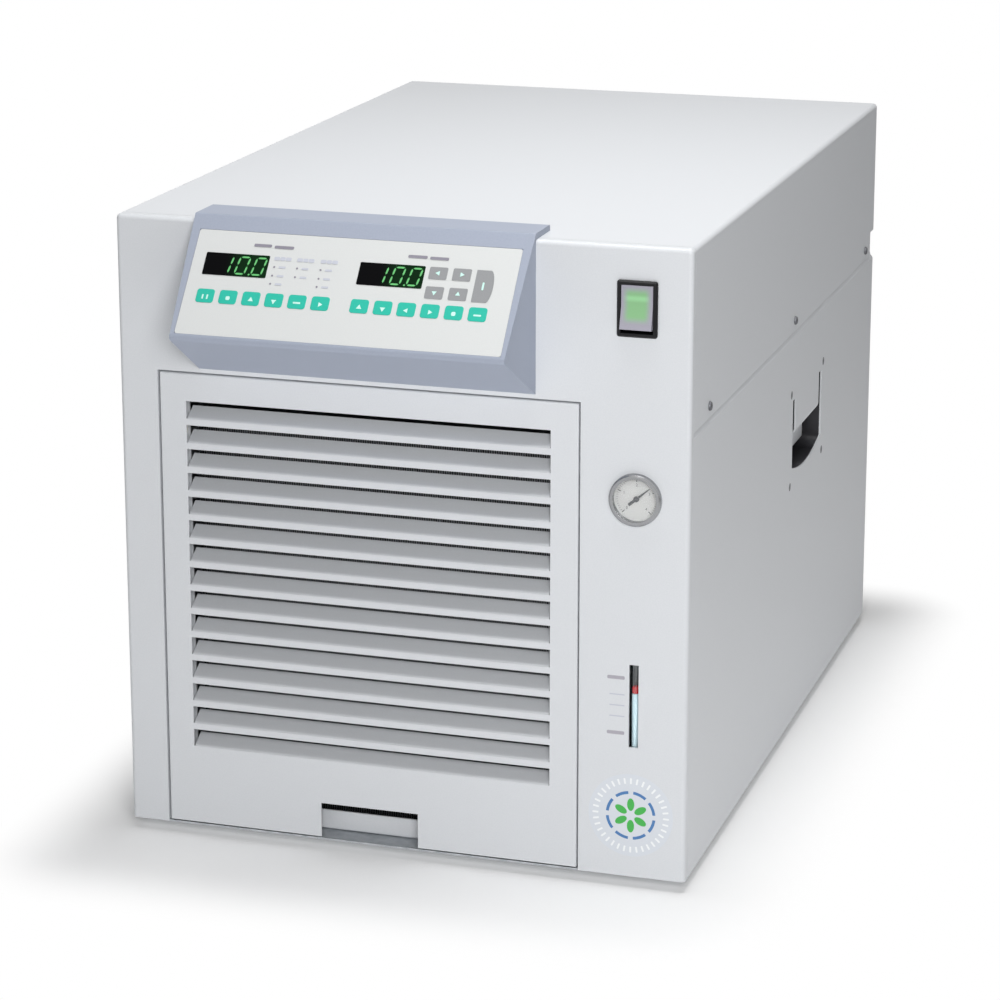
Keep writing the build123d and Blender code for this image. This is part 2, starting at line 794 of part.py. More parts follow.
def gauge_needle():
    """The pointer with its tail and spindle, drawn pointing along +x and then turned to its reading."""
    tip = needle_length
    points = ((tip, 0), (tip - 1, 0.35), (3, 0.9), (-7, 1.3), (-8.5, 1.3), (-8.5, -1.3), (-7, -1.3),
              (3, -0.9), (tip - 1, -0.35))
    y = dial_y - 1.6
    needle = plate_xz(make_face(Polyline(*points, close=True)), (y, y + 0.5))
    needle += rod_y(2.4, 0, (y - 0.5, y + 1.0), 0)
    needle += rod_y(spindle_r, 0, (y + 1.0, gauge_case_depth + 4.0), 0)
    return Pos(service_x, 0, gauge_z) * Rot(0, -needle_angle, 0) * needle


level_tube_y = sheet + 0.4 + level_tube_r
level_bore_r = level_tube_r - level_tube_wall
level_tube_z0 = level_slot_z0 - 11.0
level_tube_z1 = level_slot_z1 + 11.0
fitting_r = level_tube_r + 2.4


def level_tube():
    tube_z = (level_tube_z0, level_tube_z1)
    glass = rod_z(level_tube_r, service_x, level_tube_y, tube_z)
    return glass - rod_z(level_bore_r, service_x, level_tube_y, (tube_z[0] - 1, tube_z[1] + 1))


def level_fittings():
    """The two elbows that hold the sight tube and join it to the tank's front wall."""
    pieces = []
    for end, way in ((level_tube_z0, -1), (level_tube_z1, 1)):
        span = sorted((end + way * 8.0, end - way * 9.0))
        seat = sorted((end, end - way * 10.0))
        elbow = rod_z(fitting_r, service_x, level_tube_y + 2.0, span)
        elbow &= block((service_x - 20, service_x + 20), (sheet + 0.1, sheet + 40), span)
        elbow += rod_y(4.5, service_x, (level_tube_y, tank_y0), end + way * 3.5)
        elbow -= rod_z(level_tube_r + 0.1, service_x, level_tube_y, seat)
        pieces.append(elbow)
    return Compound(pieces)


def level_float():
    r = level_bore_r - float_clearance
    ball = rod_z(r, service_x, level_tube_y, (level_z, level_z + float_h))
    rims = ball.edges().filter_by(GeomType.CIRCLE)
    return chamfer(rims, 0.8)


def level_liquid():
    r = level_bore_r - float_clearance
    return rod_z(r, service_x, level_tube_y, (level_tube_z0, level_z - float_clearance))


# Cooling circuit

coil_z0 = sheet
coil_z1 = sheet + coil_h
header_x = door_x - coil_w / 2 - 15.0
coil_mid_y = coil_y + coil_t / 2
header_top_z = coil_z1 - 16.0
header_low_z = coil_z0 + 58.0


def condenser_coil():
    """The fin pack between two end plates, with return bends on one side and stubs on the other."""
    half = coil_w / 2
    coil_ys = (coil_y, coil_y + coil_t)
    coil_zs = (coil_z0, coil_z1)
    pack = block((door_x - half + 8, door_x + half - 8), (coil_ys[0] + 3, coil_ys[1] - 3),
                 (coil_zs[0] + 4, coil_zs[1] - 4))
    for x in (door_x - half + 6, door_x + half - 8):
        pack += block((x, x + 2), coil_ys, coil_zs)
    pitch = (coil_h - 40) / tube_rows
    for i in range(tube_rows):
        z = coil_z0 + 20 + pitch * (i + 0.5)
        bend = Pos(door_x + half - 6, coil_mid_y, z) * Rot(90, 0, 0) * Torus(pitch / 4, 4.5)
        pack += bend & block((door_x + half - 6, door_x + half + 40), coil_ys, coil_zs)
    for z in (header_top_z, header_low_z):
        stub = rod_x(header_r, (header_x, door_x - half + 6), coil_mid_y, z)
        pack += stub + rod_y(header_r, header_x, (coil_mid_y - header_r, coil_y + coil_t), z)
    return pack


shroud_y0 = coil_y + coil_t
shroud_y1 = shroud_y0 + shroud_depth
fan_z = coil_z0 + coil_h / 2
fan_y0 = shroud_y1 - 6.0
fan_y1 = fan_y0 + fan_depth
bracket_y = fan_y1 + 8.0


def fan_shroud():
    """The air box behind the coil with a flared ring for the fan."""
    half = coil_w / 2
    shroud = block((door_x - half, door_x + half), (shroud_y0, shroud_y1), (coil_z0, coil_z1))
    shroud -= block((door_x - half + sheet, door_x + half - sheet), (shroud_y0 - 1, shroud_y1 - sheet),
                    (coil_z0 + sheet, coil_z1 - sheet))
    shroud += rod_y(fan_r + fan_gap + sheet, door_x, (shroud_y1 - sheet, shroud_y1 + 22), fan_z)
    shroud -= rod_y(fan_r + fan_gap, door_x, (shroud_y1 - 5, shroud_y1 + 23), fan_z)
    return shroud


def fan_bracket():
    """A bar across the shroud that carries the motor."""
    line = sheet / 2
    leg = fan_r + fan_gap + sheet + 4.0 + line
    reach = coil_w / 2 - 4.0
    foot = shroud_y1 + line
    bar = bracket_y + line
    points = ((-reach, foot), (-leg, foot), (-leg, bar), (leg, bar), (leg, foot), (reach, foot))
    section = Pos(door_x, 0) * folded(points, 3.0)
    bracket = extrude(Pos(0, 0, fan_z - 24) * section, amount=48)
    return bracket - rod_y(14.0, door_x, (bracket_y - 2, bracket_y + 6), fan_z)


def fan_motor():
    y0 = bracket_y + sheet
    y1 = y0 + fan_motor_depth
    r = fan_motor_r
    bore = shaft_r + shaft_clearance
    nose = y0 - sheet - 4
    profile = ((bore, nose), (12, nose), (12, y0), (r - 6, y0), (r, y0 + 8), (r, y1 - 14), (r - 12, y1),
               (bore, y1))
    motor = turned_y(profile, door_x, fan_z)
    return motor + rod_y(r - 14, door_x, (y1, y1 + 2), fan_z)


def fan_shaft():
    y1 = bracket_y + sheet + fan_motor_depth
    return rod_y(shaft_r, door_x, (fan_y0 + 2, y1 - 6), fan_z)


def fan_blade(turn):
    """One blade, lofted from a steep root to a flatter and wider tip."""
    sections = []
    stations = ((fan_hub_r - 4, 46.0, 38.0), (fan_r * 0.64, 74.0, 28.0), (fan_r, 92.0, 20.0))
    for radius, chord, pitch in stations:
        plane = Plane(origin=(radius, 0, 0), x_dir=(0, 0, 1), z_dir=(1, 0, 0))
        depth = min(chord, (fan_depth - 6) / math.sin(math.radians(pitch)))
        sections.append(plane * Rot(0, 0, pitch) * Rectangle(2.0, depth))
    blade = loft(sections)
    return Rot(0, turn, 0) * Rot(90, 0, 0) * blade


def fan_rotor():
    middle = (fan_y0 + fan_y1) / 2
    hub = rod_y(fan_hub_r, 0, (-fan_depth / 2 + 2, fan_depth / 2 - 4), 0)
    hub -= rod_y(fan_hub_r - 4, 0, (-fan_depth / 2 + 5, fan_depth / 2), 0)
    hub += rod_y(10.0, 0, (-fan_depth / 2 + 3, fan_depth / 2 - 6), 0)
    rotor = hub
    for i in range(fan_blades):
        rotor += fan_blade(i * 360 / fan_blades)
    inside = rod_y(fan_hub_r - 4, 0, (-fan_depth / 2 + 5, fan_depth / 2), 0) - rod_y(
        10.0, 0, (-fan_depth / 2 + 3, fan_depth / 2 - 6), 0)
    rotor -= inside
    rotor &= rod_y(fan_r, 0, (-fan_depth / 2 - 2, fan_depth / 2 + 2), 0)
    rotor -= rod_y(shaft_r, 0, (-fan_depth / 2 + 1.9, fan_depth / 2), 0)
    return Pos(door_x, middle, fan_z) * rotor


compressor_z0 = sheet + grommet_h
compressor_top = compressor_z0 + compressor_h


def compressor():
    """The welded can: a deep lower shell, a lapped seam, a domed lid, a foot plate and three stubs."""
    r = compressor_r
    z0 = compressor_z0 + 3
    z1 = compressor_top
    seam_z = z0 + (z1 - z0) * 0.58
    profile = ((0, z0), (r * 0.62, z0), (r * 0.88, z0 + 9), (r - 3, z0 + 30), (r - 3, seam_z - 6),
               (r, seam_z - 6), (r, seam_z + 6), (r - 3, seam_z + 6), (r - 4, z1 - 42), (r * 0.86, z1 - 18),
               (r * 0.58, z1 - 4), (0, z1))
    can = turned_z(profile, compressor_x, compressor_y)
    foot = compressor_foot + 14
    plate = Pos(compressor_x, compressor_y) * RectangleRounded(2 * foot, 2 * foot, 14)
    can += extrude(Pos(0, 0, compressor_z0) * plate, amount=4)
    for x, y in grommet_places():
        can -= rod_z(grommet_r - 4, x, y, (compressor_z0 - 1, compressor_z0 + 3.9))
    for x in compressor_stub_xs():
        can += rod_z(pipe_r + 1.5, x, compressor_y, (z1 - 30, stub_top))
    box_y = compressor_y + r
    can += block((compressor_x - 26, compressor_x + 26), (box_y - 14, box_y + 26), (z0 + 96, z0 + 152))
    return can


stub_top = compressor_top + 8.0


def compressor_stub_xs():
    """Discharge on the left, suction on the right."""
    return [compressor_x - 42.0, compressor_x + 42.0]


def grommet_places():
    foot = compressor_foot
    return [(compressor_x + x * foot, compressor_y + y * foot) for x in (-1, 1) for y in (-1, 1)]


def compressor_mounts():
    """Rubber grommets under the foot plate."""
    mounts = []
    for x, y in grommet_places():
        mount = rod_z(grommet_r, x, y, (sheet, sheet + grommet_h))
        waist = rod_z(grommet_r + 1, x, y, (sheet + 6, sheet + grommet_h - 6)) - rod_z(
            grommet_r - 2, x, y, (sheet + 5, sheet + grommet_h - 5))
        mounts.append(mount - waist)
    return Compound(mounts)


drier_y0 = coil_y + coil_t + 96.0
drier_y1 = drier_y0 + drier_length
liquid_z = header_low_z
valve_x = exchanger_x0 - 30.0
exchanger_z0 = sheet + exchanger_lift
exchanger_z1 = exchanger_z0 + exchanger_h
refrigerant_in_z = liquid_z
refrigerant_out_z = exchanger_z1 - 28.0


def filter_drier():
    r = drier_r
    neck = pipe_r + 1.5
    profile = ((0, drier_y0), (neck, drier_y0), (neck, drier_y0 + 8), (r, drier_y0 + 22), (r, drier_y1 - 22),
               (neck, drier_y1 - 8), (neck, drier_y1), (0, drier_y1))
    return turned_y(profile, header_x, liquid_z)


def drier_clamp():
    """A strap that carries the drier on the tray's side wall."""
    middle = (drier_y0 + drier_y1) / 2
    ring = rod_y(drier_r + 2.1, header_x, (middle - 8, middle + 8), liquid_z)
    ring -= rod_y(drier_r + 0.1, header_x, (middle - 9, middle + 9), liquid_z)
    leg = block((header_x - 2, header_x + 2), (middle - 8, middle + 8), (sheet, liquid_z - drier_r - 0.6))
    foot = block((header_x - 2, header_x + 16), (middle - 8, middle + 8), (sheet, sheet + 2))
    return ring + leg + foot


def condenser_pipe():
    """The liquid line from the coil's lower stub to the drier."""
    return rod_y(pipe_r, header_x, (coil_y + coil_t, drier_y0), liquid_z)


def discharge_pipe():
    x = compressor_stub_xs()[0]
    points = ((header_x, coil_y + coil_t, header_top_z), (header_x, compressor_y, header_top_z),
              (x, compressor_y, header_top_z), (x, compressor_y, stub_top))
    return tube(points, pipe_r, 18.0)


def liquid_pipe():
    turn_y = compressor_y + compressor_r + 52.0
    points = ((header_x, drier_y1, liquid_z), (header_x, turn_y, liquid_z), (valve_x, turn_y, liquid_z),
              (valve_x, compressor_y + 14, liquid_z))
    return tube(points, pipe_r, 22.0)


def suction_pipe():
    x = compressor_stub_xs()[1]
    rise = stub_top + 46.0
    points = ((exchanger_x0 - 8, compressor_y, refrigerant_out_z), (valve_x, compressor_y, refrigerant_out_z),
              (valve_x, compressor_y, rise), (x, compressor_y, rise), (x, compressor_y, stub_top))
    return tube(points, pipe_r + 1, 14.0)


def expansion_valve():
    """The valve block between the liquid line and the exchanger, with its diaphragm head."""
    body = Pos(valve_x, compressor_y, liquid_z) * Box(22, 28, 26)
    body += rod_x(pipe_r + 1.5, (valve_x + 11, exchanger_x0 - 8), compressor_y, liquid_z)
    body += rod_z(8, valve_x, compressor_y, (liquid_z + 13, liquid_z + 24))
    return body + rod_z(17, valve_x, compressor_y, (liquid_z + 24, liquid_z + 31))


def plate_exchanger():
    """The brazed plate exchanger: a grooved block with end plates and four stubs."""
    x0 = exchanger_x0
    x1 = x0 + exchanger_t
    half = exchanger_w / 2
    z = (exchanger_z0, exchanger_z1)
    outline = Pos(compressor_y, (z[0] + z[1]) / 2) * RectangleRounded(exchanger_w, exchanger_h, 14)
    core = Pos(compressor_y, (z[0] + z[1]) / 2) * RectangleRounded(exchanger_w - 3, exchanger_h - 3, 12.5)
    stack = plate_yz(core, (x0, x1))
    step = (exchanger_t - 4) / 6
    for i in range(7):
        left = x0 + i * step
        stack += plate_yz(outline, (left, left + 4))
    for pipe_z in (refrigerant_in_z, refrigerant_out_z):
        stack += rod_x(pipe_r + 2, (x0 - 8, x0), compressor_y, pipe_z)
    for pipe_z in (pump_z, port_z):
        stack += rod_x(hose_r - 2, (x1, x1 + 16), compressor_y, pipe_z)
    feet = block((x0 + 6, x1 - 6), (compressor_y - half + 14, compressor_y + half - 14), (sheet, z[0]))
    return stack + feet


# Water circuit

tank_x0 = service_x - tank_w / 2
tank_x1 = service_x + tank_w / 2
tank_top = sheet + tank_h


def reservoir():
    """The folded and welded tank, open at the top under its lid."""
    tank = extrude(tank_outline(0, sheet), amount=tank_h)
    tank -= extrude(tank_outline(-tank_wall, sheet + tank_wall), amount=tank_h)
    stubs = ((hose_r - 2, service_x, pump_z), (hose_r - 2, service_x, port_z),
             (drain_r - 1.5, drain_x, drain_z))
    for r, x, z in stubs:
        tank += rod_y(r, x, (tank_y1 - tank_wall / 2, tank_y1 + 16), z)
        tank -= rod_y(r - 1.5, x, (tank_y1 - 6, tank_y1 + 17), z)
    return tank


def tank_outline(grow, z):
    """The tank seen from above at a height, grown or shrunk all round."""
    place = Pos(service_x, (tank_y0 + tank_y1) / 2, z)
    return place * RectangleRounded(tank_w + 2 * grow, tank_y1 - tank_y0 + 2 * grow, 12 + grow)


def reservoir_lid():
    lid = extrude(tank_outline(2, tank_top), amount=2)
    lid += rod_z(filler_hose_r - 2, filler_x, filler_drop_y, (tank_top + 1, tank_top + 20))
    return lid - rod_z(filler_hose_r - 3.5, filler_x, filler_drop_y, (tank_top - 1, tank_top + 21))


filler_drop_y = tank_y1 - 40.0


def pump_head():
    """The volute with its inlet nose and side outlet."""
    y0 = pump_y
    y1 = pump_y + pump_head_depth
    r = pump_r
    profile = ((0, y0), (15, y0), (15, y0 + 6), (r - 10, y0 + 9), (r - 2, y0 + 15), (r, y0 + 20), (r, y1 - 4),
               (r + 2, y1 - 4), (r + 2, y1), (0, y1))
    head = turned_y(profile, service_x, pump_z)
    head += rod_y(hose_r - 2, service_x, (y0 - 16, y0 + 1), pump_z)
    outlet_y = y1 - 14
    return head + rod_x(hose_r - 2, (service_x - r - 12, service_x), outlet_y, pump_z)


def pump_motor():
    """The finned motor on its foot."""
    y0 = pump_y + pump_head_depth
    y1 = y0 + pump_motor_depth
    r = pump_r - 2
    motor = rod_y(r, service_x, (y0, y1), pump_z)
    for i in range(9):
        y = y0 + 12 + i * (pump_motor_depth - 30) / 8
        motor += rod_y(r + 2, service_x, (y, y + 3), pump_z)
    foot = block((service_x - 14, service_x + 14), (y0 + 20, y1 - 20), (sheet, pump_z - r + 4))
    foot += block((service_x - 22, drain_x - drain_r - 1), (y0 + 20, y1 - 20), (sheet, sheet + 3))
    terminal = block((service_x - 20, service_x + 20), (y0 + 34, y0 + 84), (pump_z + r - 6, pump_z + r + 22))
    return motor + foot + terminal


def water_hose(points, bend_r, r=hose_r, bore=None):
    """A hose over a stub at each end, bored to the stub."""
    bore = r - 2 if bore is None else bore
    line = FilletPolyline(*points, radius=bend_r) if len(points) > 2 else Line(*points)
    start = Plane(origin=line @ 0, z_dir=line % 0)
    return sweep(start * (Circle(r) - Circle(bore)), path=line)


def intake_hose():
    return water_hose(((service_x, tank_y1 + 1, pump_z), (service_x, pump_y - 1, pump_z)), 0)


def pump_hose():
    x0 = service_x - pump_r - 1
    x1 = exchanger_x0 + exchanger_t + 1
    outlet_y = pump_y + pump_head_depth - 14
    middle = (x0 + x1) / 2
    points = ((x0, outlet_y, pump_z), (middle, outlet_y, pump_z), (middle, compressor_y, pump_z),
              (x1, compressor_y, pump_z))
    return water_hose(points, hose_bend)


def supply_hose():
    x1 = exchanger_x0 + exchanger_t + 1
    end_y = port_inner_y + 15
    points = ((x1, compressor_y, port_z), (supply_x, compressor_y, port_z), (supply_x, end_y, port_z))
    return water_hose(points, hose_bend)


def return_hose():
    return water_hose(((service_x, tank_y1 + 1, port_z), (service_x, port_inner_y + 15, port_z)), 0)


def drain_hose():
    points = ((drain_x, tank_y1 + 1, drain_z), (drain_x, rear_y - sheet - 16, drain_z))
    return water_hose(points, 0, drain_r, drain_r - 1.5)


def filler_hose():
    points = ((filler_x, filler_drop_y, tank_top + 3), (filler_x, filler_drop_y, filler_z),
              (filler_x, rear_y - sheet - 10, filler_z))
    return water_hose(points, 30.0, filler_hose_r)


port_neck_r = port_r - 1.0
port_inner_y = rear_y - sheet - 38.0


def hose_port(x):
    """A threaded nipple through the rear panel: collar outside, nut inside, stub for the inner hose."""
    body = hexagon_y(port_hex, x, (rear_y, rear_y + port_hex_t), port_z)
    body += rod_y(port_r, x, (rear_y + port_hex_t, rear_y + port_hex_t + port_length), port_z)
    body += rod_y(port_neck_r - 0.1, x, (rear_y - sheet - 8, rear_y), port_z)
    body += hexagon_y(port_hex - 4, x, (rear_y - sheet - 8, rear_y - sheet), port_z)
    body += rod_y(hose_r - 2, x, (port_inner_y, rear_y - sheet - 8), port_z)
    return body - rod_y(hose_r - 3.5, x, (port_inner_y - 1, rear_y + port_hex_t + port_length + 1), port_z)


valve_mid_y = rear_y + 15.0


def drain_valve():
    """A small ball valve on the rear panel with its spout."""
    body = hexagon_y(20.0, drain_x, (rear_y, rear_y + 6), drain_z)
    body += rod_y(8.0, drain_x, (rear_y + 6, rear_y + 24), drain_z)
    body += rod_y(6.5, drain_x, (rear_y + 24, rear_y + 38), drain_z)
    body += rod_y(drain_r, drain_x, (rear_y - sheet - 14, rear_y), drain_z)
    body += rod_y(drain_r - 1.5, drain_x, (rear_y - sheet - 30, rear_y - sheet - 14), drain_z)
    body += rod_z(4.0, drain_x, valve_mid_y, (drain_z, drain_z + 12))
    body -= rod_z(1.5 + spindle_clearance, drain_x, valve_mid_y, (drain_z + 6, drain_z + 13))
    return body


def drain_lever():
    """The quarter-turn lever, lying along the valve when it is open and across it at rest."""
    z = drain_z + 12.3
    lever = rod_z(5.0, drain_x, valve_mid_y, (z, z + 4.5))
    lever += block((drain_x - 38, drain_x), (valve_mid_y - 4, valve_mid_y + 4), (z + 1.5, z + 4.5))
    lever += rod_z(4.0, drain_x - 38, valve_mid_y, (z + 1.5, z + 4.5))
    return lever + rod_z(1.5, drain_x, valve_mid_y, (drain_z + 6.5, z + 1))


neck_y = rear_y + 26.0
neck_z0 = filler_z + 8.0
neck_z1 = filler_z + 30.0
cap_r = filler_r + 2.8


def filler_neck():
    """The filling cup on the rear panel with the pipe that leads inside."""
    neck = rod_y(filler_hose_r, filler_x, (rear_y - sheet - 10, neck_y), filler_z)
    neck += rod_y(filler_hose_r - 2, filler_x, (rear_y - sheet - 34, rear_y - sheet - 10), filler_z)
    neck += rod_y(filler_hose_r + 6, filler_x, (rear_y, rear_y + 4), filler_z)
    neck += rod_z(filler_r, filler_x, neck_y, (filler_z - filler_hose_r - 3, neck_z1))
    neck -= rod_z(filler_r - 2.5, filler_x, neck_y, (filler_z - filler_hose_r, neck_z1 + 1))
    return neck - rod_y(filler_hose_r - 3.5, filler_x, (rear_y - sheet - 35, neck_y), filler_z)


def filler_cap():
    """The push-on cap with a ribbed skirt."""
    top = neck_z1 + 4.0
    cap = rod_z(cap_r, filler_x, neck_y, (neck_z1 - 10, top))
    cap = chamfer(cap.edges().filter_by(GeomType.CIRCLE).sort_by(Axis.Z)[-1], 1.2)
    cap -= rod_z(filler_r + 0.35, filler_x, neck_y, (neck_z1 - 11, neck_z1 + 0.35))
    ribs = 20
    for i in range(ribs):
        turn = 360 / ribs * i
        groove = Pos(cap_r + 0.6, 0, 0) * Cylinder(1.4, top - neck_z1 + 14)
        cap -= Pos(filler_x, neck_y, neck_z1 - 4) * Rot(0, 0, turn) * groove
    return cap


# Electrical gear

def electronics_shelf():
    """A folded shelf across the cabinet that carries the electrical gear above the air path."""
    line = rear_half - sheet / 2
    z = shelf_z + sheet / 2
    points = ((-line, shelf_z + shelf_wall_h), (-line, z), (line, z), (line, shelf_z + shelf_wall_h))
    return plate_xz(folded(points, 2.5), (shelf_y0, shelf_y1))


control_x0 = -rear_half + 26.0
control_y0 = shelf_y0 + 36.0


def control_box():
    """The closed relay box with its stepped lid."""
    z0 = shelf_z + sheet
    z1 = z0 + control_box_h
    x1 = control_x0 + control_box_w
    y1 = control_y0 + control_box_d
    box = block((control_x0, x1), (control_y0, y1), (z0, z1))
    return box + block((control_x0 - 0.5, x1 + 0.5), (control_y0 - 0.5, y1 + 0.5), (z1, z1 + 2))


def transformer():
    """A laminated core with its winding."""
    z0 = shelf_z + sheet
    x0 = control_x0 + control_box_w + 34.0
    y0 = control_y0 + 30.0
    core = block((x0, x0 + 84), (y0, y0 + 44), (z0 + 4, z0 + 76))
    core -= block((x0 + 14, x0 + 35), (y0 - 1, y0 + 45), (z0 + 18, z0 + 62))
    core -= block((x0 + 49, x0 + 70), (y0 - 1, y0 + 45), (z0 + 18, z0 + 62))
    coil = block((x0 + 16, x0 + 68), (y0 - 12, y0 + 56), (z0 + 20, z0 + 60))
    feet = block((x0 - 10, x0 + 94), (y0 + 6, y0 + 38), (z0, z0 + 4))
    return core + coil + feet


def mains_inlet():
    """A flanged appliance inlet with three blades in its well."""
    x = (inlet_x - inlet_w / 2, inlet_x + inlet_w / 2)
    z = (inlet_z - inlet_h / 2, inlet_z + inlet_h / 2)
    flange = Pos(inlet_x, inlet_z) * RectangleRounded(inlet_w + 20, inlet_h + 8, 4)
    inlet = plate_xz(flange, (rear_y, rear_y + 3)) + block(x, (rear_y - 26, rear_y + 1), z)
    inlet -= block((x[0] + 2, x[1] - 2), (rear_y - 17, rear_y + 4), (z[0] + 2, z[1] - 2))
    for dx, dz in ((-7.0, -3.0), (0.0, 3.0), (7.0, -3.0)):
        cx = inlet_x + dx
        cz = inlet_z + dz
        inlet += block((cx - 1, cx + 1), (rear_y - 20, rear_y - 1), (cz - 2.5, cz + 2.5))
    return inlet


def socket_outline(spare):
    """The D-shaped outline of the interface socket."""
    wide = 9.6 + spare
    narrow = 8.3 + spare
    high = 4.6 + spare
    return make_face(Polyline((-wide, high), (wide, high), (narrow, -high), (-narrow, -high), close=True))


def interface_socket():
    """The data socket: a metal shell on a flange with nine pin holes."""
    place = Pos(socket_x, socket_z)
    socket = plate_xz(place * RectangleRounded(31.0, 12.6, 1.5), (rear_y, rear_y + 1.2))
    socket += plate_xz(place * socket_outline(0), (rear_y - 9, rear_y + 6))
    for i in range(9):
        row = 0 if i < 5 else 1
        x = socket_x + (i - 2 if row == 0 else i - 6.5) * 2.77
        socket -= rod_y(0.6, x, (rear_y + 1, rear_y + 7), socket_z + (1.4 if row == 0 else -1.4))
    return socket


def refrigerant_pipes():
    return Compound([condenser_pipe(), discharge_pipe(), liquid_pipe(), suction_pipe()])


def water_hoses():
    return Compound([intake_hose(), pump_hose(), supply_hose(), return_hose(), drain_hose()])


PIECES = {
    "base_tray": base_tray,
    "sill_rail": sill_rail,
    "rubber_feet": rubber_feet,
    "front_frame": front_frame,
    "side_panel_left": lambda: side_panel(-1),
    "side_panel_right": lambda: side_panel(1),
    "top_cover": top_cover,
    "rear_panel": rear_panel,
    "cover_screws": cover_screws,
    "rear_screws": rear_screws,
    "handle_screws": handle_screws,
    "handle_shell_left": lambda: handle_shell(-1),
    "handle_shell_right": lambda: handle_shell(1),
    "grille_panel": grille_panel,
    "grille_studs": grille_studs,
    "grille_clips": grille_clips,
    "console_housing": console_housing,
    "keypad_membrane": keypad_membrane,
    "display_modules": display_modules,
    "control_board": control_board,
    "switch_body": switch_body,
    "switch_rocker": switch_rocker,
    "gauge_case": gauge_case,
    "gauge_bezel": gauge_bezel,
    "gauge_glass": gauge_glass,
    "gauge_dial": gauge_dial,
    "gauge_needle": gauge_needle,
    "level_tube": level_tube,
    "level_fittings": level_fittings,
    "level_float": level_float,
    "level_liquid": level_liquid,
    "condenser_coil": condenser_coil,
    "fan_shroud": fan_shroud,
    "fan_bracket": fan_bracket,
    "fan_motor": fan_motor,
    "fan_shaft": fan_shaft,
    "fan_rotor": fan_rotor,
    "compressor": compressor,
    "compressor_mounts": compressor_mounts,
    "filter_drier": filter_drier,
    "drier_clamp": drier_clamp,
    "refrigerant_pipes": refrigerant_pipes,
    "expansion_valve": expansion_valve,
    "plate_exchanger": plate_exchanger,
    "reservoir": reservoir,
    "reservoir_lid": reservoir_lid,
    "pump_head": pump_head,
    "pump_motor": pump_motor,
    "water_hoses": water_hoses,
    "filler_hose": filler_hose,
    "hose_ports": lambda: Compound([hose_port(supply_x), hose_port(service_x)]),
    "drain_valve": drain_valve,
    "drain_lever": drain_lever,
    "filler_neck": filler_neck,
    "filler_cap": filler_cap,
    "electronics_shelf": electronics_shelf,
    "control_box": control_box,
    "transformer": transformer,
    "mains_inlet": mains_inlet,
    "interface_socket": interface_socket,
}

built = {name: make() for name, make in PIECES.items()}
boxes = [piece.bounding_box() for piece in built.values()]
near_y = min(b.min.Y for b in boxes)
far_y = max(b.max.Y for b in boxes)
middle_y = (near_y + far_y) / 2

os.makedirs("parts", exist_ok=True)
for name, piece in built.items():
    export_step(Pos(0, -middle_y, foot_h) * piece, f"parts/{name}.step")
print("pieces", len(built), "middle_y", round(middle_y, 4))
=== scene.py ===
# %% [markdown]
# # A recirculating chiller
#
# The real object is a floor-standing cabinet of folded sheet steel, powder-coated light grey. A cast
# console with a printed keypad sits on its front edge, and a pull-off louvred panel covers the air intake.
#
# The pieces come in as solids at their real size and place. This script gives each one its finish, and adds
# what is too fine for a solid: the print on the keypad, the dial's marks, the coil's fins, the screws'
# recesses. Nothing is moved: a new piece takes its place from the solids, so both always agree.

# %% Load the solids
import json
import math

import bmesh
import bpy
from mathutils import Matrix, Vector


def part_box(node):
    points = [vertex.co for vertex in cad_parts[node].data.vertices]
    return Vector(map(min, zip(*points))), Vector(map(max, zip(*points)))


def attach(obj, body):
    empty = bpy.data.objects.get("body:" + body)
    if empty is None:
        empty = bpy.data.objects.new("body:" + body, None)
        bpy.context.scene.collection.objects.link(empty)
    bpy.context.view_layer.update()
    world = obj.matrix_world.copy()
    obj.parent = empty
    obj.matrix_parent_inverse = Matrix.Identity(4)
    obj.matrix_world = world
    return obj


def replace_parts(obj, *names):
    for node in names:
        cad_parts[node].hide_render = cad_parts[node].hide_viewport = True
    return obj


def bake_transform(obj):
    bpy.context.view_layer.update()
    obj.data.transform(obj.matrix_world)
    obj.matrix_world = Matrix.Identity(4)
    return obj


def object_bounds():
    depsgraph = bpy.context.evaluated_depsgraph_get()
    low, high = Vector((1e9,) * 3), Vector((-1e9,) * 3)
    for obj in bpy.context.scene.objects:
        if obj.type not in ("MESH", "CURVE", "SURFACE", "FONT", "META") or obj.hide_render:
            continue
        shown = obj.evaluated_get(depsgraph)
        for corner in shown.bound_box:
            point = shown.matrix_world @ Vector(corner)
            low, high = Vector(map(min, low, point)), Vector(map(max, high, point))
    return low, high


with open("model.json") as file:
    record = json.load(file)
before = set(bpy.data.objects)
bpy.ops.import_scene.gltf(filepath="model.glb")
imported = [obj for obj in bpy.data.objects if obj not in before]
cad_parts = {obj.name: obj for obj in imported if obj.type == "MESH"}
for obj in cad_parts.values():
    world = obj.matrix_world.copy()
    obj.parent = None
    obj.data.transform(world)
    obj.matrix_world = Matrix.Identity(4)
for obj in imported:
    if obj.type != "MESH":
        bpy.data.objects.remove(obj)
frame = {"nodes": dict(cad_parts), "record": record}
solid_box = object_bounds()
nodes = frame["nodes"]
MM = 0.001
print("solids", len(nodes), "box", [round(c, 4) for corner in solid_box for c in corner])

# %% [markdown]
# ## Two small helpers for materials
#
# Paint charts and photographs give colours as sRGB hex values, and shaders need linear light, so one
# function turns the first into the second. The other adds a node, with its settings, its values and its
# links, because every material below is a handful of such nodes.


# %% Colours and nodes
def linear(code, alpha=1.0):
    """An sRGB hex colour as linear light."""
    parts = [int(code[i:i + 2], 16) / 255 for i in (1, 3, 5)]
    return tuple(c / 12.92 if c <= 0.04045 else ((c + 0.055) / 1.055) ** 2.4 for c in parts) + (alpha,)


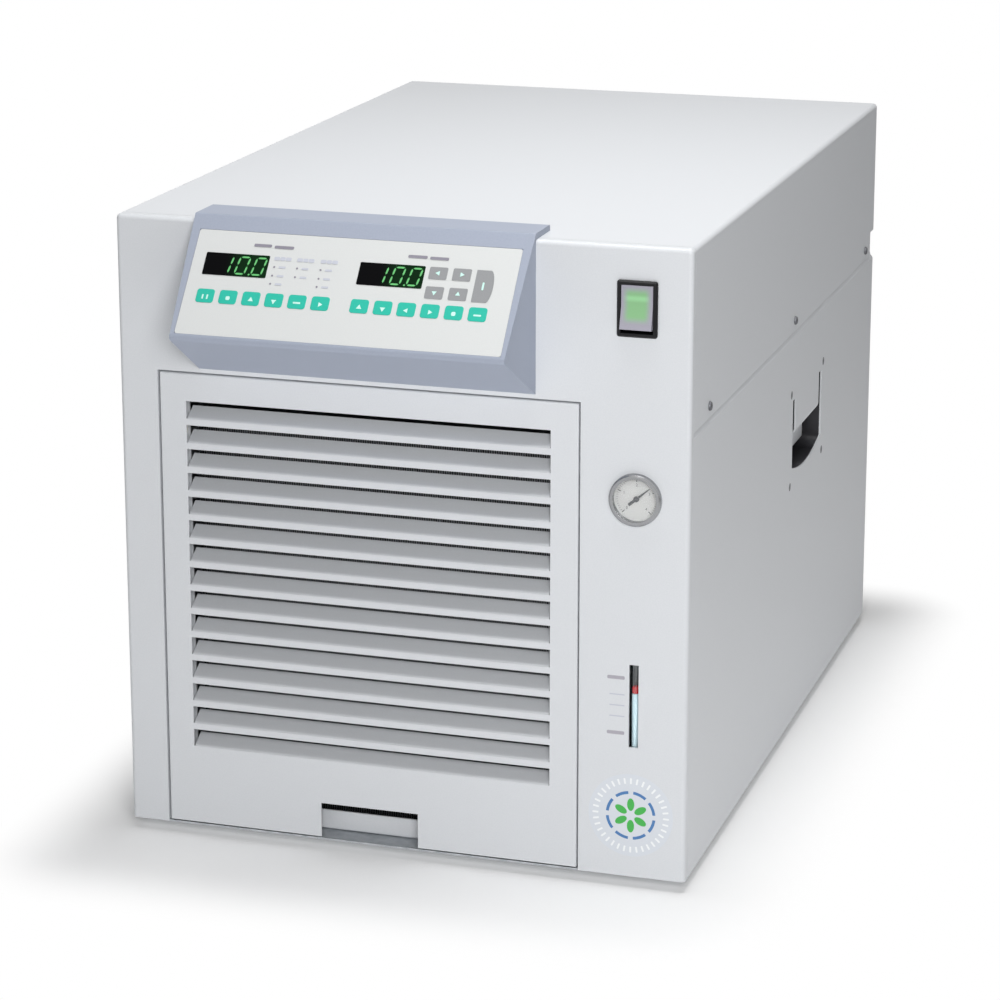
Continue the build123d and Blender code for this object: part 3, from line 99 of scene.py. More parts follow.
def add(tree, kind, settings=None, inputs=None):
    """Adds a node to a tree; an input is a value or another node's output."""
    node = tree.nodes.new(kind)
    for name, value in (settings or {}).items():
        setattr(node, name, value)
    for name, value in (inputs or {}).items():
        if isinstance(value, bpy.types.NodeSocket):
            tree.links.new(value, node.inputs[name])
        else:
            node.inputs[name].default_value = value
    return node


print("cabinet grey is", [round(c, 3) for c in linear("#D5D7DC")])

# %% [markdown]
# ## What all the finishes share
#
# A real surface is never one flat colour. Powder coat has a fine orange peel, a moulding has the grain of
# its tool, rolled metal has lines. So each finish here is one shader with two shades that follow a grain,
# and a bump of the same grain. The grain's size and depth are in millimetres, and the pattern is read from
# Object coordinates, which stay with the piece when it moves.


# %% One grained finish
def grained(name, shades, grain, depth, roughness, pattern="ShaderNodeTexNoise", stretch=(1, 1, 1),
            settings=None, rough_swing=0.06, **constants):
    """A material with two hex shades that follow a grain; grain and depth are in millimetres."""
    material = bpy.data.materials.new(name)
    material.use_nodes = True
    tree = material.node_tree
    tree.nodes.clear()
    place = add(tree, "ShaderNodeTexCoord")
    turned = add(tree, "ShaderNodeMapping", None, {"Vector": place.outputs["Object"], "Scale": stretch})
    texture = add(tree, pattern, settings, {"Vector": turned.outputs[0], "Scale": 1 / (grain * MM)})
    if pattern == "ShaderNodeTexNoise":
        texture.inputs["Detail"].default_value = 3.0
    shade = add(tree, "ShaderNodeMix", {"data_type": "RGBA"},
                {0: texture.outputs[0], 6: linear(shades[0]), 7: linear(shades[1])})
    rough = add(tree, "ShaderNodeMapRange", None,
                {"Value": texture.outputs[0], "To Min": roughness - rough_swing,
                 "To Max": roughness + rough_swing})
    relief = add(tree, "ShaderNodeBump", None,
                 {"Strength": 1.0, "Distance": depth * MM, "Height": texture.outputs[0]})
    shader = add(tree, "ShaderNodeBsdfPrincipled", None,
                 {"Base Color": shade.outputs[2], "Roughness": rough.outputs[0], "Normal": relief.outputs[0]})
    for socket, value in constants.items():
        shader.inputs[socket.replace("_", " ")].default_value = value
    out = add(tree, "ShaderNodeOutputMaterial", None, {"Surface": shader.outputs[0]})
    out.name = "out"
    shader.name = "shader"
    return material


# %% [markdown]
# ## The cabinet's paint
#
# Epoxy-polyester powder is sprayed dry and baked, and it flows out into a fine orange peel about a
# millimetre across. The light grey is not quite even either: the peel's crests catch more light than its
# valleys. The console is a lacquered casting, so it is smoother, bluer and a little glossier.

# %% Painted metal
finish = {}
finish["cabinet_paint"] = grained("Powder coat, light grey", ("#CED1D5", "#D9DBDE"), 1.1, 0.035, 0.42)
finish["console_paint"] = grained("Satin lacquer, blue-grey", ("#99A0B0", "#A1A8B7"), 1.6, 0.008, 0.5,
                                  Specular_IOR_Level=0.25)
finish["lever_steel"] = grained("Dipped vinyl, blue", ("#14407E", "#1A4A8C"), 0.8, 0.02, 0.38)
finish["motor_black"] = grained("Stoving enamel, black", ("#17181A", "#1F2022"), 0.9, 0.02, 0.36)
finish["needle_black"] = grained("Enamelled brass strip, black", ("#38383B", "#444448"), 0.3, 0.004, 0.5)
finish["dial_white"] = grained("Dial enamel, grey-white", ("#A6A3A2", "#AEACAB"), 0.5, 0.003, 0.55)
print("painted finishes", len(finish))

# %% [markdown]
# ## Bare and plated metal
#
# Hot-dip galvanised sheet shows its zinc crystals, the spangle, as flakes a few millimetres across, so a
# Voronoi pattern suits it. Rolled, drawn and brushed metal is a noise pulled out along one axis. Metals
# keep the default IOR: their colour alone sets how they reflect.

# %% Metals
metal = {"Metallic": 1.0}
finish["zinc_steel"] = grained("Galvanised steel sheet", ("#9FA3A7", "#C2C5C8"), 7.0, 0.01, 0.42,
                               pattern="ShaderNodeTexVoronoi", rough_swing=0.12, **metal)
finish["screw_steel"] = grained("Zinc-plated steel, dark passivated", ("#606165", "#717276"), 0.6, 0.01, 0.42,
                                **metal)
finish["gauge_steel"] = grained("Pressed steel cup", ("#8F9193", "#A2A4A6"), 0.8, 0.01, 0.4, **metal)
# The ring's base colour is darker than polished steel: painted reflection of a dark room, as the world it
# mirrors is white.
finish["bezel_chrome"] = grained("Polished stainless ring, darkened as painted reflection", ("#8F9092", "#A3A4A6"), 0.5, 0.002, 0.24,
                                 stretch=(1, 8, 1), **metal)
# The fin pack's solid is near black as painted shade: it stands for the dark gaps between the fins.
finish["fin_aluminium"] = grained("Fin pack, dark as painted shade between fins", ("#1E1F21", "#2C2E30"), 2.0, 0.01, 0.5,
                                  stretch=(1, 1, 0.1))
fin_foil = grained("Mill-finish aluminium foil", ("#8E9194", "#A2A5A8"), 2.0, 0.01, 0.4,
                   stretch=(1, 1, 0.1), **metal)
finish["shaft_steel"] = grained("Ground steel bar", ("#9A9C9E", "#B4B6B8"), 0.4, 0.004, 0.22,
                                stretch=(1, 0.1, 1), **metal)
finish["stainless"] = grained("Brushed stainless sheet", ("#9C9E9F", "#B9BBBC"), 0.8, 0.008, 0.32,
                              stretch=(1, 0.06, 1), **metal)
finish["copper_tube"] = grained("Drawn copper tube", ("#B0643F", "#C67A52"), 3.0, 0.01, 0.3, **metal)
finish["valve_brass"] = grained("Machined brass", ("#B08A45", "#C7A25A"), 0.6, 0.006, 0.3, **metal)
finish["port_nickel"] = grained("Nickel-plated brass", ("#A8A59C", "#BDBAB1"), 0.5, 0.005, 0.24, **metal)
finish["winding_core"] = grained("Laminated core, varnished", ("#3A2A20", "#5A4433"), 1.0, 0.05, 0.45,
                                 stretch=(1, 0.05, 1))
print("finishes so far", len(finish))

# %% [markdown]
# ## Plastics and rubber
#
# Moulded parts copy the texture of their tool. The pocket of a side grip and the elbows are spark-eroded,
# with a grain near half a millimetre. Rubber is duller, with hardly any gloss. Nylon lets a little light
# in, so its shader gets some subsurface scattering.

# %% Plastics
finish["foot_rubber"] = grained("Moulded rubber, black", ("#141414", "#1D1D1D"), 0.7, 0.03, 0.78)
finish["hose_rubber"] = grained("Extruded rubber hose, black", ("#151515", "#1E1E1E"), 0.9, 0.02, 0.6,
                                stretch=(1, 0.2, 1))
finish["pocket_plastic"] = grained("Spark-eroded ABS, dark grey", ("#2C2C30", "#38383C"), 0.6, 0.02, 0.36)
finish["clip_nylon"] = grained("Natural nylon", ("#CFCBBB", "#DBD8CA"), 0.8, 0.01, 0.4,
                               Subsurface_Weight=0.3, Subsurface_Scale=0.002)
finish["fitting_black"] = grained("Glass-filled nylon, black", ("#1B1B1D", "#262628"), 0.5, 0.02, 0.5)
finish["switch_black"] = grained("Polycarbonate, black", ("#101012", "#161619"), 0.5, 0.006, 0.4,
                                  Specular_IOR_Level=0.25)
finish["inlet_black"] = grained("Thermoset moulding, black", ("#161617", "#202021"), 0.6, 0.01, 0.34)
finish["fan_black"] = grained("Moulded polypropylene, black", ("#161617", "#212122"), 0.8, 0.01, 0.48)
finish["cap_black"] = grained("Ribbed polypropylene, black", ("#18181A", "#232325"), 0.6, 0.01, 0.42)
finish["board_green"] = grained("Solder mask on board", ("#0E4A2A", "#156238"), 3.0, 0.03, 0.3,
                                pattern="ShaderNodeTexVoronoi", settings={"distance": "MANHATTAN"})
finish["keypad_film"] = grained("Matt polyester film", ("#CCCECE", "#D4D6D5"), 0.9, 0.006, 0.55,
                                Specular_IOR_Level=0.3)
finish["display_black"] = grained("Smoked window, black", ("#050506", "#08080A"), 0.8, 0.002, 0.4,
                                    Specular_IOR_Level=0.03)
finish["float_red"] = grained("Solid acrylic, red", ("#A01219", "#B81A20"), 0.6, 0.004, 0.22)
print("finishes so far", len(finish))

# %% [markdown]
# ## Clear parts and the lit rocker
#
# The gauge's window, the sight tube and its water let light through. A path tracer's lamp can't reach what
# lies behind glass without caustics, so a shadow ray passes through these shaders as if they weren't there.
# The rocker is a green lens over a small lamp that glows in its middle, and its edges stay greyish. A
# brighter band near its upper end is painted highlight, where the tilted top catches the light from above.


# %% Clear finishes
def clear(name, tint, ior, roughness):
    """A see-through material whose shadow rays pass."""
    material = grained(name, (tint, tint), 4.0, 0.001, roughness, rough_swing=0.01)
    tree = material.node_tree
    shader = tree.nodes["shader"]
    shader.inputs["Transmission Weight"].default_value = 1.0
    shader.inputs["IOR"].default_value = ior
    path = add(tree, "ShaderNodeLightPath")
    through = add(tree, "ShaderNodeBsdfTransparent", None, {"Color": linear(tint)})
    mixed = add(tree, "ShaderNodeMixShader", None,
                {0: path.outputs["Is Shadow Ray"], 1: shader.outputs[0], 2: through.outputs[0]})
    tree.links.new(mixed.outputs[0], tree.nodes["out"].inputs["Surface"])
    return material


finish["window_glass"] = clear("Window glass", "#FAFCFC", 1.45, 0.02)
finish["tube_clear"] = clear("Clear acrylic tube", "#F4F8FA", 1.49, 0.04)
finish["water"] = clear("Water and glycol, hazy", "#C6D8DC", 1.33, 0.08)
finish["water"].node_tree.nodes["shader"].inputs["Transmission Weight"].default_value = 0.15

# %% The rocker's lens
rocker_low, rocker_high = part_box("switch_rocker")


def lit_lens(name, low, high):
    """A lit green lens with grey rims, and a painted highlight band near its top."""
    material = grained(name, ("#9C9AA6", "#A5A3AE"), 0.8, 0.006, 0.24)
    tree = material.node_tree
    shader = tree.nodes["shader"]
    middle, half = (low + high) / 2, (high - low) / 2
    place = add(tree, "ShaderNodeTexCoord")
    axes = add(tree, "ShaderNodeSeparateXYZ", None, {0: place.outputs["Object"]})

    def band(axis, spot, inner, outer):
        """One inside a distance from a spot on an axis, falling softly to nothing at a larger one."""
        off = add(tree, "ShaderNodeMath", {"operation": "SUBTRACT"}, {0: axes.outputs[axis], 1: spot})
        away = add(tree, "ShaderNodeMath", {"operation": "ABSOLUTE"}, {0: off.outputs[0]})
        fall = add(tree, "ShaderNodeMapRange", {"interpolation_type": "SMOOTHSTEP"},
                   {"Value": away.outputs[0], "From Min": outer, "From Max": inner})
        return fall.outputs[0]

    across = band("X", middle.x, 0.45 * half.x, 0.95 * half.x)
    along = band("Z", middle.z + 0.12 * half.z, 0.45 * half.z, 0.85 * half.z)
    glow = add(tree, "ShaderNodeMath", {"operation": "MULTIPLY"}, {0: across, 1: along})
    # Painted highlight: a band near the top glows brighter, for the light the tilted top catches from above.
    painted_highlight_band = band("Z", middle.z + 0.42 * half.z, 0.02 * half.z, 0.2 * half.z)
    base = tree.nodes["shader"].inputs["Base Color"].links[0].from_socket
    shade = add(tree, "ShaderNodeMix", {"data_type": "RGBA"},
                {0: glow.outputs[0], 6: base, 7: linear("#84B482")})
    tree.links.new(shade.outputs[2], shader.inputs["Base Color"])
    shader.inputs["Emission Color"].default_value = linear("#A4E6B2")
    gain = add(tree, "ShaderNodeMapRange", None, {"Value": painted_highlight_band, "To Min": 0.03, "To Max": 0.2})
    strength = add(tree, "ShaderNodeMath", {"operation": "MULTIPLY"},
                   {0: glow.outputs[0], 1: gain.outputs[0]})
    tree.links.new(strength.outputs[0], shader.inputs["Emission Strength"])
    return material


finish["rocker_green"] = lit_lens("Green lens over a lamp, painted highlight at top", rocker_low, rocker_high)
print("finishes in all", len(finish))

# %% [markdown]
# ## Dressing the solids
#
# The record says which finish each solid has. The solids come as loose triangles, so a small Geometry Nodes
# tree merges their corners and shades them smooth, but keeps every edge sharper than a set angle. Weighted
# normals then keep the big flat faces flat beside their rounded edges. The meshes themselves stay as they
# are.


# %% Soft shading for the solids
def shading_tree():
    """Merges loose triangles and smooths all edges but the sharp ones."""
    tree = bpy.data.node_groups.new("Soft shading", "GeometryNodeTree")
    tree.interface.new_socket("Geometry", in_out="INPUT", socket_type="NodeSocketGeometry")
    tree.interface.new_socket("Sharp Angle", in_out="INPUT", socket_type="NodeSocketFloat")
    tree.interface.new_socket("Geometry", in_out="OUTPUT", socket_type="NodeSocketGeometry")
    start = add(tree, "NodeGroupInput")
    merged = add(tree, "GeometryNodeMergeByDistance", None,
                 {"Geometry": start.outputs[0], "Distance": 0.002 * MM})
    smooth = add(tree, "GeometryNodeSetShadeSmooth", None,
                 {"Geometry": merged.outputs[0], "Shade Smooth": True})
    angle = add(tree, "GeometryNodeInputMeshEdgeAngle")
    sharp = add(tree, "FunctionNodeCompare", {"data_type": "FLOAT", "operation": "GREATER_THAN"},
                {0: angle.outputs[0], 1: start.outputs["Sharp Angle"]})
    split = add(tree, "GeometryNodeSetShadeSmooth", {"domain": "EDGE"},
                {"Geometry": smooth.outputs[0], "Selection": sharp.outputs[0], "Shade Smooth": False})
    add(tree, "NodeGroupOutput", None, {0: split.outputs[0]})
    return tree


soft_shading = shading_tree()
SHARP_ANGLE = math.radians(32)
for row in frame["record"]["subparts"]:
    node = nodes[row["node"]]
    node.data.materials.clear()
    node.data.materials.append(finish[row["material_slot"]])
    modifier = node.modifiers.new("Soft shading", "NODES")
    modifier.node_group = soft_shading
    for item in soft_shading.interface.items_tree:
        if item.name == "Sharp Angle":
            modifier[item.identifier] = SHARP_ANGLE
    weighted = node.modifiers.new("Flat faces stay flat", "WEIGHTED_NORMAL")
    weighted.keep_sharp = True

# %% [markdown]
# ## Where new pieces go
#
# Print and small trim lie on a flat face, so they are drawn in that face's own plane, in millimetres, and
# then put in place by one matrix. The film's plane is found from its solid: its largest face that looks
# forward and up. The cabinet's front is upright, so its plane starts at the lower left corner of the front
# frame.


# %% Planes to draw on
def facing_plane(node, towards):
    """The plane of a solid's largest flat face that looks a given way: right, up, outward, and its middle."""
    areas = {}
    for face in nodes[node].data.polygons:
        if face.normal.dot(towards) > 0.5:
            key = tuple(round(c, 2) for c in face.normal)
            areas[key] = areas.get(key, 0) + face.area
    outward = Vector(max(areas, key=areas.get)).normalized()
    right = Vector((1, 0, 0))
    up = outward.cross(right).normalized()
    turn = Matrix((right, up, outward)).transposed()
    spots = [turn.transposed() @ v.co for v in nodes[node].data.vertices]
    low = [min(s[i] for s in spots) for i in range(3)]
    high = [max(s[i] for s in spots) for i in range(3)]
    middle = turn @ Vector(((low[0] + high[0]) / 2, (low[1] + high[1]) / 2, high[2]))
    size = (high[0] - low[0], high[1] - low[1])
    return Matrix.Translation(middle) @ turn.to_4x4(), size


film_plane, film_size = facing_plane("keypad_membrane", Vector((0, -0.6, 0.8)))
cabinet_low, cabinet_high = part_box("front_frame")
front_plane = Matrix.Translation(cabinet_low) @ Matrix(((1, 0, 0), (0, 0, -1), (0, 1, 0))).to_4x4()
print("film", [round(s / MM, 1) for s in film_size], "cabinet", [round(c, 4) for c in cabinet_low])


# %% Flat shapes
def rounded(x, y, width, height, corner, steps=5):
    """The outline of a rounded rectangle about a middle, in millimetres."""
    points = []
    for i, (sx, sy) in enumerate(((1, 1), (-1, 1), (-1, -1), (1, -1))):
        for k in range(steps + 1):
            angle = math.radians(90 * i + 90 * k / steps)
            points.append((x + sx * (width / 2 - corner) + corner * math.cos(angle),
                           y + sy * (height / 2 - corner) + corner * math.sin(angle)))
    return points


def round_shape(x, y, radius, steps=24):
    """The outline of a disc."""
    turns = [2 * math.pi * k / steps for k in range(steps)]
    return [(x + radius * math.cos(a), y + radius * math.sin(a)) for a in turns]


def arc_band(x, y, inner, outer, start, end, steps=12):
    """The outline of a piece of a ring between two angles in degrees."""
    turns = [math.radians(start + (end - start) * k / steps) for k in range(steps + 1)]
    outside = [(x + outer * math.cos(a), y + outer * math.sin(a)) for a in turns]
    inside = [(x + inner * math.cos(a), y + inner * math.sin(a)) for a in reversed(turns)]
    return outside + inside


def film_point(u, v):
    """A place on the film, given from its upper left corner, as one from its middle."""
    return u - film_size[0] / MM / 2, film_size[1] / MM / 2 - v


def plates(name, outlines, plane, lift, thick):
    """Thin closed plates of given outlines, on a plane, as one mesh."""
    shape = bmesh.new()
    for outline in outlines:
        rings = []
        for z in (lift, lift + thick):
            rings.append([shape.verts.new((x * MM, y * MM, z * MM)) for x, y in outline])
        shape.faces.new(rings[1])
        shape.faces.new(list(reversed(rings[0])))
        for i in range(len(outline)):
            j = (i + 1) % len(outline)
            shape.faces.new((rings[0][i], rings[0][j], rings[1][j], rings[1][i]))
    bmesh.ops.transform(shape, matrix=plane, verts=shape.verts)
    mesh = bpy.data.meshes.new(name)
    shape.to_mesh(mesh)
    shape.free()
    return mesh


def finished(name, mesh, material, body="cabinet"):
    """Links a finished piece, gives it its material and hangs it on a body."""
    mesh.materials.clear()
    mesh.materials.append(material)
    made = bpy.data.objects.new(name, mesh)
    bpy.context.scene.collection.objects.link(made)
    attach(made, body)
    print(name, len(mesh.polygons), "faces")
    return made


# %% [markdown]
# ## Rows, rings and spots by Geometry Nodes
#
# Keys stand in rows, fins stand side by side, a dial's marks go round a circle, and screws stand where the
# solids have them. Each is one mark repeated by a rule, so one tree makes a row, another a ring, and a
# third puts the mark on given spots and spins each copy by chance, as screws are left. All end in Realize
# Instances and Set Material, and their result is kept as a plain mesh.


# %% The three trees
def repeating_tree(name, inputs, build):
    """A tree with named inputs that puts a mark on points; build gives the points and each one's turn."""
    tree = bpy.data.node_groups.new(name, "GeometryNodeTree")
    for label, kind in {**inputs, "Mark": "NodeSocketObject", "Material": "NodeSocketMaterial"}.items():
        tree.interface.new_socket(label, in_out="INPUT", socket_type=kind)
    tree.interface.new_socket("Geometry", in_out="OUTPUT", socket_type="NodeSocketGeometry")
    start = add(tree, "NodeGroupInput")
    points, turn = build(tree, start)
    mark = add(tree, "GeometryNodeObjectInfo", None, {"Object": start.outputs["Mark"]})
    copies = add(tree, "GeometryNodeInstanceOnPoints", None,
                 {"Points": points, "Instance": mark.outputs["Geometry"]})
    if turn:
        tree.links.new(turn, copies.inputs["Rotation"])
    if "Spin" in inputs:
        chance = add(tree, "FunctionNodeRandomValue", {"data_type": "FLOAT"},
                     {2: 0.0, 3: start.outputs["Spin"], "Seed": 7})
        spin = add(tree, "ShaderNodeCombineXYZ", None, {2: chance.outputs[1]})
        copies = add(tree, "GeometryNodeRotateInstances", None,
                     {"Instances": copies.outputs[0], "Rotation": spin.outputs[0]})
    real = add(tree, "GeometryNodeRealizeInstances", None, {0: copies.outputs[0]})
    dressed = add(tree, "GeometryNodeSetMaterial", None,
                  {"Geometry": real.outputs[0], "Material": start.outputs["Material"]})
    add(tree, "NodeGroupOutput", None, {0: dressed.outputs[0]})
    return tree


def row_points(tree, start):
    line = add(tree, "GeometryNodeMeshLine", {"mode": "OFFSET"},
               {"Count": start.outputs["Count"], "Start Location": start.outputs["First"],
                "Offset": start.outputs["Pitch"]})
    return line.outputs[0], None


def ring_points(tree, start):
    index = add(tree, "GeometryNodeInputIndex")
    angle = add(tree, "ShaderNodeMath", {"operation": "MULTIPLY_ADD"},
                {0: index.outputs[0], 1: start.outputs["Step"], 2: start.outputs["Begin"]})
    across = add(tree, "ShaderNodeMath", {"operation": "COSINE"}, {0: angle.outputs[0]})
    along = add(tree, "ShaderNodeMath", {"operation": "SINE"}, {0: angle.outputs[0]})
    way = add(tree, "ShaderNodeCombineXYZ", None, {0: across.outputs[0], 1: along.outputs[0]})
    out = add(tree, "ShaderNodeVectorMath", {"operation": "SCALE"},
              {0: way.outputs[0], "Scale": start.outputs["Radius"]})
    place = add(tree, "ShaderNodeVectorMath", {"operation": "ADD"},
                {0: out.outputs[0], 1: start.outputs["Middle"]})
    points = add(tree, "GeometryNodePoints", None,
                 {"Count": start.outputs["Count"], "Position": place.outputs[0]})
    turn = add(tree, "ShaderNodeCombineXYZ", None, {2: angle.outputs[0]})
    return points.outputs[0], turn.outputs[0]


row_tree = repeating_tree("Row", {"Count": "NodeSocketInt", "First": "NodeSocketVector",
                                  "Pitch": "NodeSocketVector"}, row_points)
ring_tree = repeating_tree("Ring", {"Count": "NodeSocketInt", "Radius": "NodeSocketFloat",
                                    "Begin": "NodeSocketFloat", "Step": "NodeSocketFloat",
                                    "Middle": "NodeSocketVector"}, ring_points)
spot_tree = repeating_tree("Spots", {"Spots": "NodeSocketGeometry", "Turn": "NodeSocketRotation",
                                     "Spin": "NodeSocketFloat"},
                           lambda tree, start: (start.outputs["Spots"], start.outputs["Turn"]))


def grown(name, tree, mark_mesh, values, plane=None, spots=()):
    """Runs a tree on a mark with these values, and gives the result as a plain mesh on a plane."""
    mark = bpy.data.objects.new(name + " mark", mark_mesh)
    holder = bpy.data.objects.new(name + " holder", bpy.data.meshes.new(name + " holder"))
    holder.data.from_pydata(spots, [], [])
    for thing in (mark, holder):
        bpy.context.scene.collection.objects.link(thing)
    modifier = holder.modifiers.new("Grow", "NODES")
    modifier.node_group = tree
    for item in tree.interface.items_tree:
        if item.in_out == "INPUT" and item.name in values:
            modifier[item.identifier] = values[item.name]
        elif item.in_out == "INPUT" and item.name == "Mark":
            modifier[item.identifier] = mark
    holder.update_tag()
    mesh = bpy.data.meshes.new_from_object(holder.evaluated_get(bpy.context.evaluated_depsgraph_get()))
    mesh.name = name
    if plane:
        mesh.transform(plane)
    for thing in (holder, mark):
        bpy.data.objects.remove(thing)
    return mesh


print("trees", row_tree.name, ring_tree.name, spot_tree.name)

# %% [markdown]
# ## The keypad's keys
#
# A membrane keypad is one film with its keys printed on the back and embossed, so a key stands up by a
# fraction of a millimetre and has soft shoulders. Both rows of six teal keys come from the row tree. The
# grey keys are a block of four, with a tall one beside them whose right side bulges.

# %% Keys
KEY_LIFT = -0.05
KEY_THICK = 0.25
KEY_ROW_V = 61.1
KEY_PITCH = 20.1
KEY_ROWS_U = (18.85, 153.15)
KEY_SIZE = (15.5, 12.5)
GREY_SIZE = (15.5, 11.0)
teal_ink = grained("Printed ink, teal", ("#2BAE99", "#36BDA8"), 0.9, 0.004, 0.5, Specular_IOR_Level=0.2)
grey_ink = grained("Printed ink, grey", ("#8C8E90", "#969799"), 0.9, 0.004, 0.5, Specular_IOR_Level=0.2)
white_ink = grained("Printed ink, pale", ("#BFE9DF", "#CDF0E8"), 0.5, 0.002, 0.45)
dark_ink = grained("Printed ink, slate", ("#7D7A86", "#8B8893"), 0.5, 0.002, 0.45)
mark_ink = grained("Printed ink, mid grey", ("#A29FA8", "#ABA8B1"), 0.5, 0.002, 0.45)
faint_ink = grained("Printed ink, pale slate", ("#B7BAC6", "#C3C6D0"), 0.5, 0.002, 0.45)


def embossed(name, outline):
    """A key's plate about the origin, with its upper rim drawn in."""
    mesh = plates(name, [outline], Matrix.Identity(4), KEY_LIFT, KEY_THICK)
    shape = bmesh.new()
    shape.from_mesh(mesh)
    shape.faces.ensure_lookup_table()
    top = shape.faces[0]
    bmesh.ops.inset_region(shape, faces=[top], thickness=0.5 * MM, depth=0.12 * MM)
    shape.to_mesh(mesh)
    shape.free()
    return mesh


key_mark = embossed("teal key", rounded(0, 0, *KEY_SIZE, 2.4))
for number, first_u in enumerate(KEY_ROWS_U):
    x, y = film_point(first_u, KEY_ROW_V)
    mesh = grown(f"key_row_{number + 1}", row_tree, key_mark,
                 {"Count": 6, "First": (x * MM, y * MM, 0), "Pitch": (KEY_PITCH * MM, 0, 0),
                  "Material": teal_ink}, film_plane)
    finished(f"key_row_{number + 1}", mesh, teal_ink)
grey_places = [film_point(u, v) for u in (213.55, 233.65) for v in (26.7, 44.4)]
grey_keys = [rounded(x, y, *GREY_SIZE, 1.2) for x, y in grey_places]
tall_x, tall_y = film_point(253.3, 35.8)
bulge = [(tall_x - 7.5, tall_y + 14.5), (tall_x - 7.5, tall_y - 14.5)]
bulge += [(tall_x + 4.5 + 4.0 * math.cos(a), tall_y + 14.5 * math.sin(a))
          for a in (math.radians(-90 + 180 * k / 14) for k in range(15))]
finished("grey_keys", plates("grey_keys", grey_keys + [bulge], film_plane, KEY_LIFT, KEY_THICK), grey_ink)

# %% [markdown]
# ## Signs on the keys, titles and legends
#
# The signs are plain shapes: arrows, bars, squares and dots, each about five millimetres wide. A sign sits
# on its key as a second, thinner plate. The titles and the lists beside the displays are bars in place of
# words.


# %% Print on the film
SIGN_LIFT = KEY_LIFT + KEY_THICK + 0.10
PRINT_LIFT = -0.02
PRINT_THICK = 0.12


def arrow(x, y, size, turn):
    """A triangle that points a given way, in degrees from the right."""
    angles = [math.radians(turn + k * 120) for k in range(3)]
    return [(x + size * math.cos(a), y + size * math.sin(a)) for a in angles]


def bar(x, y, width, height):
    return rounded(x, y, width, height, min(width, height) * 0.3, 2)


def key_signs(first_u, kinds):
    """The pale sign of each key of a row."""
    signs = []
    for i, kind in enumerate(kinds):
        x, y = film_point(first_u + i * KEY_PITCH, KEY_ROW_V + 1.0)
        if kind == "up":
            signs.append(arrow(x, y, 2.6, 90))
        elif kind == "down":
            signs.append(arrow(x, y, 2.6, -90))
        elif kind == "left":
            signs.append(arrow(x, y, 2.4, 180))
        elif kind == "right":
            signs.append(arrow(x, y, 2.4, 0))
        elif kind == "bar":
            signs.append(bar(x, y, 6.4, 1.6))
        elif kind == "pair":
            signs += [bar(x - 2.0, y, 1.4, 4.2), bar(x + 2.0, y, 1.4, 4.2)]
        else:
            signs.append(bar(x, y, 3.6, 3.6))
    return signs


signs = key_signs(KEY_ROWS_U[0], ("pair", "square", "up", "down", "bar", "right"))
signs += key_signs(KEY_ROWS_U[1], ("up", "down", "left", "right", "square", "bar"))
signs += [arrow(*grey_places[0], 2.4, 180), arrow(*grey_places[2], 2.4, 0), arrow(*grey_places[1], 2.4, -90),
          arrow(*grey_places[3], 2.4, 90), bar(tall_x, tall_y, 1.6, 7.0)]
finished("key_signs", plates("key_signs", signs, film_plane, SIGN_LIFT, PRINT_THICK), white_ink)

titles = [bar(*film_point(58.6, 11.9), 15.5, 2.6), bar(*film_point(77.4, 12.5), 17.0, 2.6),
          bar(*film_point(193.4, 13.0), 16.5, 2.6), bar(*film_point(212.0, 13.4), 16.0, 2.6)]
columns = {71.05: (30.8, 38.8, 46.3), 91.05: (30.8, 38.8), 111.55: (30.8, 38.8, 46.3)}
heads = []
dots = []
faint = []
for left, lines in columns.items():
    heads += [bar(*film_point(left + 2.5, 23.0), 5.0, 3.2), bar(*film_point(left + 12.5, 23.0), 5.0, 3.2)]
    faint.append(bar(*film_point(left + 7.5, 23.0), 4.4, 3.2))
    for line in lines:
        dots.append(round_shape(*film_point(left + 1.5, line), 0.9, 12))
        faint.append(bar(*film_point(left + 8.5, line), 6.0, 1.8))
finished("film_titles", plates("film_titles", titles + dots, film_plane, PRINT_LIFT, PRINT_THICK), dark_ink)
finished("film_legends", plates("film_legends", heads + faint, film_plane, PRINT_LIFT, PRINT_THICK),
         faint_ink)

# %% [markdown]
# ## Number displays
#
# Behind each window stands a seven-segment display: seven bars a digit, slanted by ten degrees. The lit
# bars throw a faint green light on the smoked window around them, so the window's material has a green glow
# that fades to the left, read from the window's own UV map.

# %% Windows and digits
WINDOW = (56.0, 20.6)
WINDOW_U = (39.05, 173.95)
WINDOW_V = 31.3
DIGIT = (8.6, 15.4)
STROKE = 1.5
SLANT = math.tan(math.radians(10))
SEGMENTS = {"0": "abcdef", "1": "bc"}


def segment(kind, x, y):
    """One bar of a digit about a middle, pointed at both ends and slanted."""
    half_w, half_h, s = DIGIT[0] / 2, DIGIT[1] / 2, STROKE
    flat = {"a": half_h, "d": -half_h}
    if kind in flat:
        level, reach = flat[kind], half_w - 0.5
        points = [(-reach, level), (s - reach, level + s / 2), (reach - s, level + s / 2), (reach, level),
                  (reach - s, level - s / 2), (s - reach, level - s / 2)]
    else:
        side = half_w if kind in "bc" else -half_w
        top, low = (half_h - 0.5, 0.5) if kind in "bf" else (-0.5, 0.5 - half_h)
        points = [(side, top), (side - s / 2, top - s), (side - s / 2, low + s), (side, low),
                  (side + s / 2, low + s), (side + s / 2, top - s)]
    return [(x + px + SLANT * py, y + py) for px, py in points]


